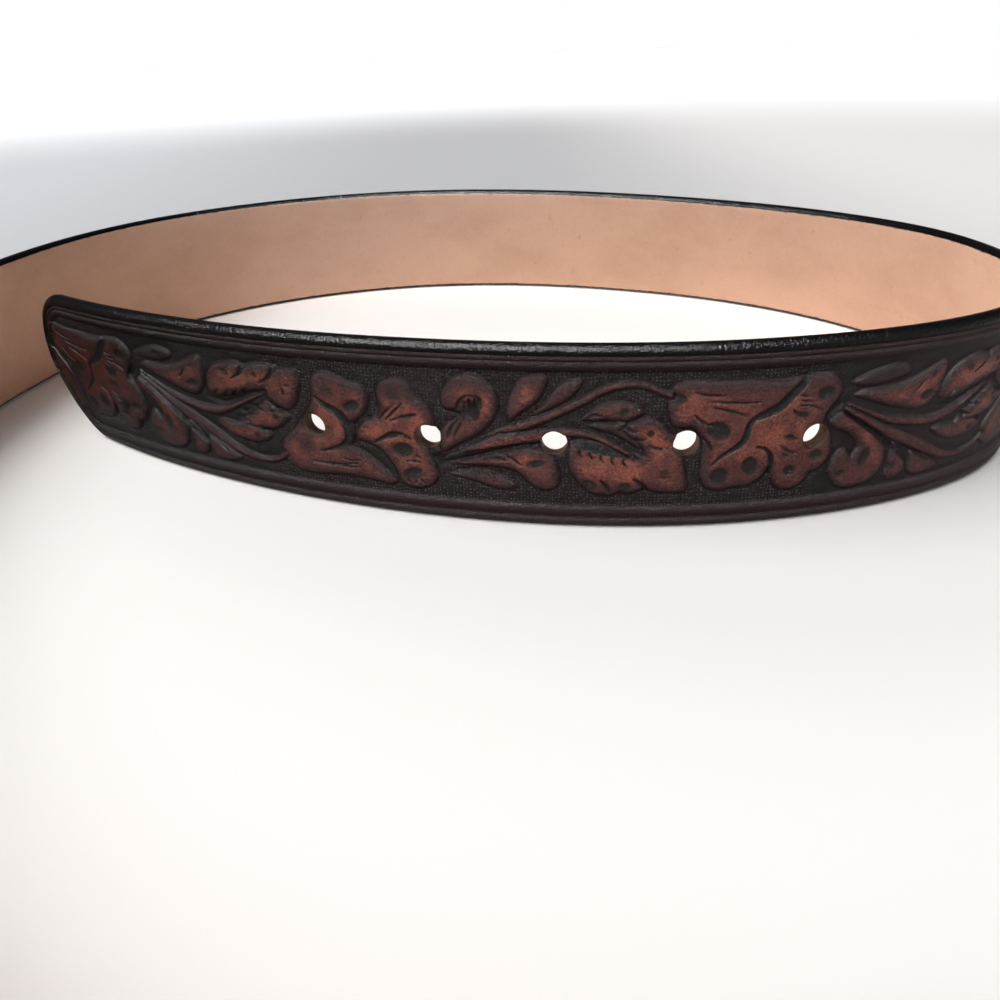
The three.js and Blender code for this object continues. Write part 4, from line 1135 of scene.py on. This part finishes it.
class Finish:
    """A material, with short calls for the nodes that it is made of."""

    def __init__(self, name, roughness=0.5, metallic=0.0, **sockets):
        self.material = bpy.data.materials.new(name)
        self.material.use_nodes = True
        self.tree = self.material.node_tree
        self.shader = self.tree.nodes["Principled BSDF"]
        self.shader.inputs["Roughness"].default_value = roughness
        self.shader.inputs["Metallic"].default_value = metallic
        for socket, value in sockets.items():
            self.shader.inputs[socket.replace("_", " ")].default_value = value

    def put(self, socket, value):
        if isinstance(value, bpy.types.NodeSocket):
            self.tree.links.new(value, socket)
        else:
            socket.default_value = value

    def node(self, kind, inputs=None, **settings):
        made = self.tree.nodes.new("ShaderNode" + kind)
        for name, value in settings.items():
            setattr(made, name, value)
        for name, value in (inputs or {}).items():
            self.put(made.inputs[name], value)
        return made

    def read(self, name):
        return self.node("Attribute", attribute_name=name)

    def number(self, name):
        return self.read(name).outputs["Fac"]

    def math(self, operation, *values, clamp=False):
        return self.node("Math", dict(enumerate(values)), operation=operation, use_clamp=clamp).outputs[0]

    def grey(self, value):
        return self.node("CombineColor", {channel: value for channel in range(3)}).outputs[0]

    def ramp(self, value, low, high, start=0.0, end=1.0):
        """A smooth change from start to end as the value goes from low to high."""
        inputs = {"Value": value, "From Min": low, "From Max": high, "To Min": start, "To Max": end}
        return self.node("MapRange", inputs, interpolation_type="SMOOTHSTEP").outputs["Result"]

    def mix(self, share, first, second, blend="MIX"):
        made = self.node("Mix", data_type="RGBA", blend_type=blend)
        for socket, value in ((0, share), (6, first), (7, second)):
            self.put(made.inputs[socket], value)
        return made.outputs[2]

    def noise(self, place, scale, detail=3.0, roughness=0.55, stretch=None):
        if stretch:
            place = self.node("Mapping", {"Vector": place, "Scale": stretch}).outputs["Vector"]
        inputs = {"Vector": place, "Scale": scale, "Detail": detail, "Roughness": roughness}
        return self.node("TexNoise", inputs).outputs["Fac"]

    def cells(self, place, scale, randomness, dimensions):
        inputs = {"Vector": place, "Scale": scale, "Randomness": randomness}
        return self.node("TexVoronoi", inputs, voronoi_dimensions=dimensions).outputs

    def bump(self, height, distance):
        return self.node("Bump", {"Height": height, "Distance": distance}).outputs["Normal"]

    def finish(self, colour, roughness=None, normal=None):
        """The material, with what it was given. The clear coat follows the same bumps."""
        sockets = {"Base Color": colour, "Roughness": roughness, "Normal": normal, "Coat Normal": normal}
        for name, value in sockets.items():
            if value is not None:
                self.put(self.shader.inputs[name], value)
        return self.material


GROUND_BLACK = paint(22, 12, 11)
SMOOTH_BLACK = paint(25, 22, 19)
# Painted highlight: the pale glint on each matting dot
DOT_PAINTED_GLINT = paint(112, 106, 103)
EDGE_BLACK = paint(9, 7, 8)
BAND_BROWN = paint(42, 26, 29)
LINE_RED = paint(50, 29, 28)
LOW_ROLL = paint(42, 31, 32)
RIM_PURPLE = paint(57, 36, 38)
MAHOGANY = paint(94, 51, 46)
ORANGE = paint(138, 77, 62)
CUT_BLACK = paint(26, 13, 10)
HOLLOW_GREY = paint(27, 26, 22)
RAW_BROWN = paint(88, 60, 48)
# Painted sheen: a pale grey that lightens the strap from the front's right end on, as a reflection of bright
# surroundings
PAINTED_SHEEN_GREY = paint(108, 92, 92)
# Painted shade: a multiplier that darkens the front towards the tip, which turns away from the light
TIP_PAINTED_SHADE = (0.28, 0.16, 0.14, 1)
TAN = paint(209, 170, 143)
TAN_DARK = paint(200, 159, 132)
STAIN = paint(160, 114, 88)


def carved_leather():
    """Antiqued leather: black ground and cuts, purple rims, red-brown middles, and a thin clear finish."""
    skin = Finish(
        "carved_leather", 0.5, Coat_Weight=0.2, Coat_IOR=1.32, Coat_Roughness=0.2, Specular_IOR_Level=0.02
    )
    flat = skin.read("flat").outputs["Vector"]
    leaf, cut, pit = (skin.number(name) for name in ("leaf", "cut", "pit"))
    inset, rim = skin.number("inset"), skin.number("rim")
    field = skin.ramp(inset, FIELD_INSET - 0.15, FIELD_INSET + 0.1)
    cloud = skin.ramp(skin.noise(flat, 0.24, 3.0, 0.6), 0.34, 0.66, -1.0, 1.0)
    grain = skin.ramp(skin.noise(flat, 1.9, 4.0, 0.75), 0.34, 0.66, -1.0, 1.0)
    pores = skin.ramp(skin.noise(flat, 2.7, 2.0), 0.32, 0.46, 0.45, 1.0)
    streak = skin.ramp(skin.noise(flat, 1.1, 3.0, 0.6, stretch=(0.6, 1, 1.6)), 0.32, 0.68, -1.0, 1.0)

    on_leaf = skin.math("MULTIPLY", skin.ramp(leaf, 0.02, 0.26), field)
    middle = skin.ramp(skin.math("MULTIPLY_ADD", streak, 0.5, skin.number("core")), 0.2, 2.7)
    warmth = skin.math("ADD", skin.number("warm"), skin.math("MULTIPLY", cloud, 0.28), clamp=True)
    tone = skin.math("MULTIPLY", middle, skin.math("MULTIPLY_ADD", warmth, 0.7, 0.3))
    tone = skin.math("MULTIPLY_ADD", grain, 0.07, tone)
    leather = skin.mix(skin.ramp(tone, 0.0, 0.5), RIM_PURPLE, MAHOGANY)
    leather = skin.mix(skin.ramp(tone, 0.4, 0.95), leather, ORANGE)
    shade = skin.math("MULTIPLY_ADD", grain, 0.34, skin.math("MULTIPLY_ADD", streak, 0.14, 1.04))
    leather = skin.mix(1.0, leather, skin.grey(skin.math("MULTIPLY", shade, pores)), "MULTIPLY")

    patchy = skin.math("MULTIPLY_ADD", streak, 0.5, skin.math("MULTIPLY", grain, 0.5))
    speckle = skin.ramp(skin.math("MULTIPLY_ADD", patchy, 0.7, skin.number("hollow")), 0.35, 0.8)
    stamped = skin.ramp(skin.math("MULTIPLY_ADD", patchy, 0.25, pit), -0.2, 0.25, 0.0, 0.95)
    ragged = skin.math("MULTIPLY_ADD", patchy, 0.18, cut)
    darkened = skin.math("MAXIMUM", stamped, skin.math("MULTIPLY", speckle, 0.85))
    leather = skin.mix(darkened, leather, HOLLOW_GREY)
    bottom = skin.mix(skin.ramp(cut, 0.15, 0.45), CUT_BLACK, HOLLOW_GREY)
    leather = skin.mix(skin.ramp(ragged, -0.14, 0.1), leather, bottom)

    dots = skin.cells(flat_plane(skin), 1.42, 0.45, "2D")
    matted = skin.math("MULTIPLY", field, skin.number("matted"))
    bare = skin.math("MULTIPLY", skin.math("SUBTRACT", 1.0, on_leaf), matted)
    stipple = skin.math("MULTIPLY", skin.ramp(dots["Distance"], 0.1, 0.32, 1.0, 0.0), bare)
    # Painted highlight: each dot's glint has a random strength
    dot_glint_share = skin.ramp(skin.node("SeparateColor", {0: dots["Color"]}).outputs[0], 0.1, 0.9, 0.1, 0.55)

    parts = skin.node("SeparateXYZ", {"Vector": flat}).outputs
    along, below = parts["X"], skin.ramp(parts["Z"], 18.0, 20.0, 1.0, 0.0)
    border = skin.mix(skin.ramp(inset, 2.1, 2.25), EDGE_BLACK, LINE_RED)
    border = skin.mix(skin.ramp(inset, 2.8, 3.1), border, BAND_BROWN)
    border = skin.mix(skin.math("MULTIPLY", skin.ramp(grain, -1.0, 1.0), 0.25), border, EDGE_BLACK)
    border = skin.mix(skin.math("MULTIPLY", skin.ramp(inset, 1.9, 2.1, 1.0, 0.0), below), border, LOW_ROLL)
    surface = skin.mix(field, border, skin.mix(skin.number("matted"), SMOOTH_BLACK, GROUND_BLACK))
    # Painted highlight: the matting dots get pale grey glints
    surface = skin.mix(skin.math("MULTIPLY", stipple, dot_glint_share), surface, DOT_PAINTED_GLINT)
    # A thin dark line round every leaf: dye in the knife cut of its outline, and painted shade along its
    # bevelled edge
    outline = skin.ramp(skin.math("ABSOLUTE", skin.math("ADD", leaf, 0.12)), 0.1, 0.4, 0.8, 0.0)
    surface = skin.mix(skin.math("MULTIPLY", outline, field), surface, CUT_BLACK)
    surface = skin.mix(on_leaf, surface, leather)
    # Painted shade: the surface darkens towards the tip, which faces away from the light, along a ragged line
    place = skin.math("MULTIPLY_ADD", cloud, 3.0, along)
    surface = skin.mix(skin.ramp(place, 25.0, 125.0, 1.0, 0.0), surface, TIP_PAINTED_SHADE, "MULTIPLY")
    # Painted sheen: from about 180 mm along, and on all the rest of the strap, a pale grey reflection is
    # mixed in
    surface = skin.mix(skin.ramp(place, 180.0, 250.0, 0.0, 0.18), surface, PAINTED_SHEEN_GREY)
    surface = skin.mix(skin.ramp(rim, 0.0, 0.4, 0.8, 0.0), surface, CUT_BLACK)
    surface = skin.mix(skin.ramp(rim, 0.01, 0.06, 1.0, 0.0), surface, RAW_BROWN)

    bevel = skin.node("MapRange", {"Value": leaf, "From Min": -0.05, "From Max": 0.4}).outputs["Result"]
    edges = skin.math("MULTIPLY", bevel, skin.ramp(cut, -0.3, 0.0, 1.0, 0.6))
    height = skin.math("MULTIPLY_ADD", edges, 0.36, skin.math("MULTIPLY", grain, 0.05))
    normal = skin.bump(skin.math("MULTIPLY_ADD", stipple, 0.16, height), MM)
    return skin.finish(surface, skin.ramp(grain, -1.0, 1.0, 0.42, 0.58), normal)


def rolled_edge():
    """The strap's burnished black edge: pebbly and glossy."""
    skin = Finish(
        "rolled_edge", 0.4, Coat_Weight=0.25, Coat_IOR=1.3, Coat_Roughness=0.1, Specular_IOR_Level=0.02
    )
    flat = skin.read("flat").outputs["Vector"]
    pebbles = skin.cells(flat, 1.7, 1.0, "3D")["Distance"]
    grain = skin.noise(flat, 4.0, 3.0, 0.7)
    height = skin.math("MULTIPLY_ADD", pebbles, 0.12, skin.math("MULTIPLY", grain, 0.1))
    colour = skin.mix(skin.ramp(grain, 0.35, 0.65), EDGE_BLACK, paint(16, 13, 14))
    return skin.finish(colour, skin.ramp(grain, 0.3, 0.7, 0.24, 0.42), skin.bump(height, MM))


def flat_plane(skin):
    """The strap's own plane, along and high, for a pattern in two directions."""
    parts = skin.node("SeparateXYZ", {"Vector": skin.read("flat").outputs["Vector"]})
    return skin.node("CombineXYZ", {"X": parts.outputs["X"], "Y": parts.outputs["Z"]}).outputs["Vector"]


def natural_leather():
    """The undyed inner face: tan, with small stains, a fine nap, and dye at the edges."""
    skin = Finish("natural_leather", 0.62, Specular_IOR_Level=0.3)
    flat = skin.read("flat").outputs["Vector"]
    cloud = skin.noise(flat, 0.045, 4.0, 0.6, stretch=(0.6, 1, 1))
    fibre = skin.noise(flat, 1.8, 4.0, 0.7)
    colour = skin.mix(skin.ramp(cloud, 0.38, 0.72), TAN, TAN_DARK)
    spots = skin.ramp(skin.noise(flat, 0.22, 4.0, 0.7), 0.62, 0.74)
    colour = skin.mix(skin.math("MULTIPLY", spots, 0.3), colour, STAIN)
    colour = skin.mix(0.25, colour, skin.mix(fibre, paint(60, 60, 60), paint(200, 200, 200)), "OVERLAY")
    wander = skin.math("MULTIPLY", skin.noise(flat, 0.5, 3.0), 1.2)
    dye = skin.ramp(skin.math("SUBTRACT", skin.number("inset"), wander), 0.1, 0.7, 1.0, 0.0)
    colour = skin.mix(dye, colour, EDGE_BLACK)
    normal = skin.bump(fibre, 0.12 * MM)
    return skin.finish(colour, 0.6, normal)


def edge_leather():
    """Black dyed leather with a low sheen, for the keeper."""
    skin = Finish("edge_leather", 0.4, Coat_Weight=0.2, Coat_Roughness=0.25, Specular_IOR_Level=0.4)
    place = skin.node("TexCoord").outputs["Object"]
    grain = skin.noise(place, 1800, 3.0, 0.6)
    colour = skin.mix(skin.ramp(grain, 0.35, 0.7), EDGE_BLACK, paint(40, 35, 36))
    height = skin.math("MULTIPLY", grain, 0.12)
    return skin.finish(colour, skin.ramp(grain, 0.3, 0.7, 0.34, 0.5), skin.bump(height, MM))


def buckle_metal():
    """Satin nickel with fine scratches and a little tarnish."""
    metal = Finish("buckle_metal", 0.3, metallic=1.0)
    place = metal.node("TexCoord").outputs["Object"]
    scratch = metal.noise(place, 900, 4.0, 0.7, stretch=(1, 1, 0.06))
    tarnish = metal.noise(place, 130, 3.0)
    colour = metal.mix(metal.ramp(tarnish, 0.4, 0.72), paint(196, 192, 184), paint(150, 143, 132))
    roughness = metal.ramp(scratch, 0.3, 0.7, 0.24, 0.4)
    return metal.finish(colour, roughness, metal.bump(scratch, 0.03 * MM))


# Scene


# The camera that matches the photograph: metres, degrees and millimetres
CAMERA_PLACE = (0.00675, -0.15224, 0.0835)
CAMERA_PITCH = 31.32
CAMERA_ROLL = -2.22
CAMERA_LENS = 26.5
SENSOR_WIDTH = 36

# Broad lights, seen by rough surfaces alone: degrees round from +X, degrees up, and strength
BROAD_LIGHTS = {"back": (120, 22, 1.55), "left": (180, 52, 1.8), "front": (225, 52, 1.35)}
BROAD_SPREAD = 45

# Lights that only show as shine: degrees round, degrees up, degrees across, and strength
SHINE_LIGHTS = {"glint": (238, 56, 14, 38), "sheen": (345, 8, 36, 0.7)}

FLOOR_HALF = 40


def far_light(name, around, up, spread, strength):
    """A soft light from far away: degrees round from +X, degrees up and degrees across, and its strength."""
    light = bpy.data.lights.new(name, "SUN")
    light.angle, light.energy = math.radians(spread), strength
    lamp = bpy.data.objects.new(name, light)
    turn, lift = math.radians(around), math.radians(up)
    lamp.location = Vector((math.cos(turn) * math.cos(lift), math.sin(turn) * math.cos(lift), math.sin(lift)))
    lamp.rotation_euler = (-lamp.location).to_track_quat("-Z", "Y").to_euler()
    bpy.context.scene.collection.objects.link(lamp)
    return lamp


def make_camera():
    pitch, roll = math.radians(CAMERA_PITCH), math.radians(CAMERA_ROLL)
    right = Vector((math.cos(roll), math.sin(pitch) * math.sin(roll), math.cos(pitch) * math.sin(roll)))
    up = Vector((-math.sin(roll), math.sin(pitch) * math.cos(roll), math.cos(pitch) * math.cos(roll)))
    back = right.cross(up)
    data = bpy.data.cameras.new("camera")
    data.sensor_width, data.lens, data.clip_start = SENSOR_WIDTH, CAMERA_LENS, 0.01
    camera = bpy.data.objects.new("camera", data)
    turn = Matrix((right, up, back)).transposed().to_4x4()
    camera.matrix_world = Matrix.Translation(CAMERA_PLACE) @ turn
    bpy.context.scene.collection.objects.link(camera)
    bpy.context.scene.camera = camera


def make_studio():
    bm = bmesh.new()
    bmesh.ops.create_grid(bm, x_segments=1, y_segments=1, size=FLOOR_HALF)
    mesh = bpy.data.meshes.new("floor")
    bm.to_mesh(mesh)
    bm.free()
    floor = bpy.data.objects.new("floor", mesh)
    mesh.materials.append(pale_floor())
    bpy.context.scene.collection.objects.link(floor)
    make_daylight()
    bpy.context.scene.view_settings.view_transform = "Standard"
    for name, (around, up, strength) in BROAD_LIGHTS.items():
        far_light(name, around, up, BROAD_SPREAD, strength).visible_glossy = False
    far_light("right", 318, 30, BROAD_SPREAD, 0.24)
    for name, (around, up, spread, strength) in SHINE_LIGHTS.items():
        far_light(name, around, up, spread, strength).visible_diffuse = False


def pale_floor():
    """White near the belt, then a band of painted shade: grey, bluish to the left, darkest behind the middle
    and lighter to the right, and white again far out.
    """
    cloth = Finish("pale_floor", 0.85, Specular_IOR_Level=0.2)
    place = cloth.node("TexCoord").outputs["Object"]
    away = cloth.node("VectorMath", {0: place}, operation="LENGTH").outputs["Value"]
    across = cloth.node("SeparateXYZ", {"Vector": place}).outputs["X"]
    # Painted shade: the grey band stands where a backdrop in shade would be
    far = cloth.mix(cloth.ramp(across, -0.45, -0.05), paint(192, 194, 200), paint(176, 176, 178))
    far = cloth.mix(cloth.ramp(across, 0.02, 0.34), far, paint(222, 218, 217))
    far = cloth.mix(cloth.ramp(away, 0.75, 1.5), far, paint(246, 246, 247))
    return cloth.finish(cloth.mix(cloth.ramp(away, 0.17, 0.3), paint(246, 243, 240), far))


def make_daylight():
    """Faint daylight all round, with a pale backdrop where the camera sees past the floor."""
    world = bpy.data.worlds.new("soft_daylight")
    world.use_nodes = True
    nodes, links = world.node_tree.nodes, world.node_tree.links
    daylight = nodes["Background"]
    daylight.inputs["Color"].default_value = (0.9, 0.94, 1, 1)
    daylight.inputs["Strength"].default_value = 0.08
    backdrop = nodes.new("ShaderNodeBackground")
    backdrop.inputs["Color"].default_value = paint(255, 255, 255)
    seen, mixed = nodes.new("ShaderNodeLightPath"), nodes.new("ShaderNodeMixShader")
    links.new(seen.outputs["Is Camera Ray"], mixed.inputs[0])
    links.new(daylight.outputs[0], mixed.inputs[1])
    links.new(backdrop.outputs[0], mixed.inputs[2])
    links.new(mixed.outputs[0], nodes["World Output"].inputs["Surface"])
    bpy.context.scene.world = world


def dress(piece, materials, slot, *nodes):
    """Gives a piece its materials, hides the frame's nodes that it stands for, and hangs it on the root body.
    The slot is not used.
    """
    for material in materials:
        piece.data.materials.append(material)
    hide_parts(*nodes)
    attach(piece, "root")


make_camera()
dress(strap(), [carved_leather(), natural_leather(), rolled_edge()], "carved_leather", "strap")
dress(keeper_loop(), [edge_leather()], "edge_leather", "keeper_loop")
metal = buckle_metal()
dress(buckle(), [metal], "buckle_metal", "buckle")
for post, behind_bar in POSTS_BEHIND_BAR.items():
    dress(fold_post(post, behind_bar), [metal], "buckle_metal", post)
make_studio()
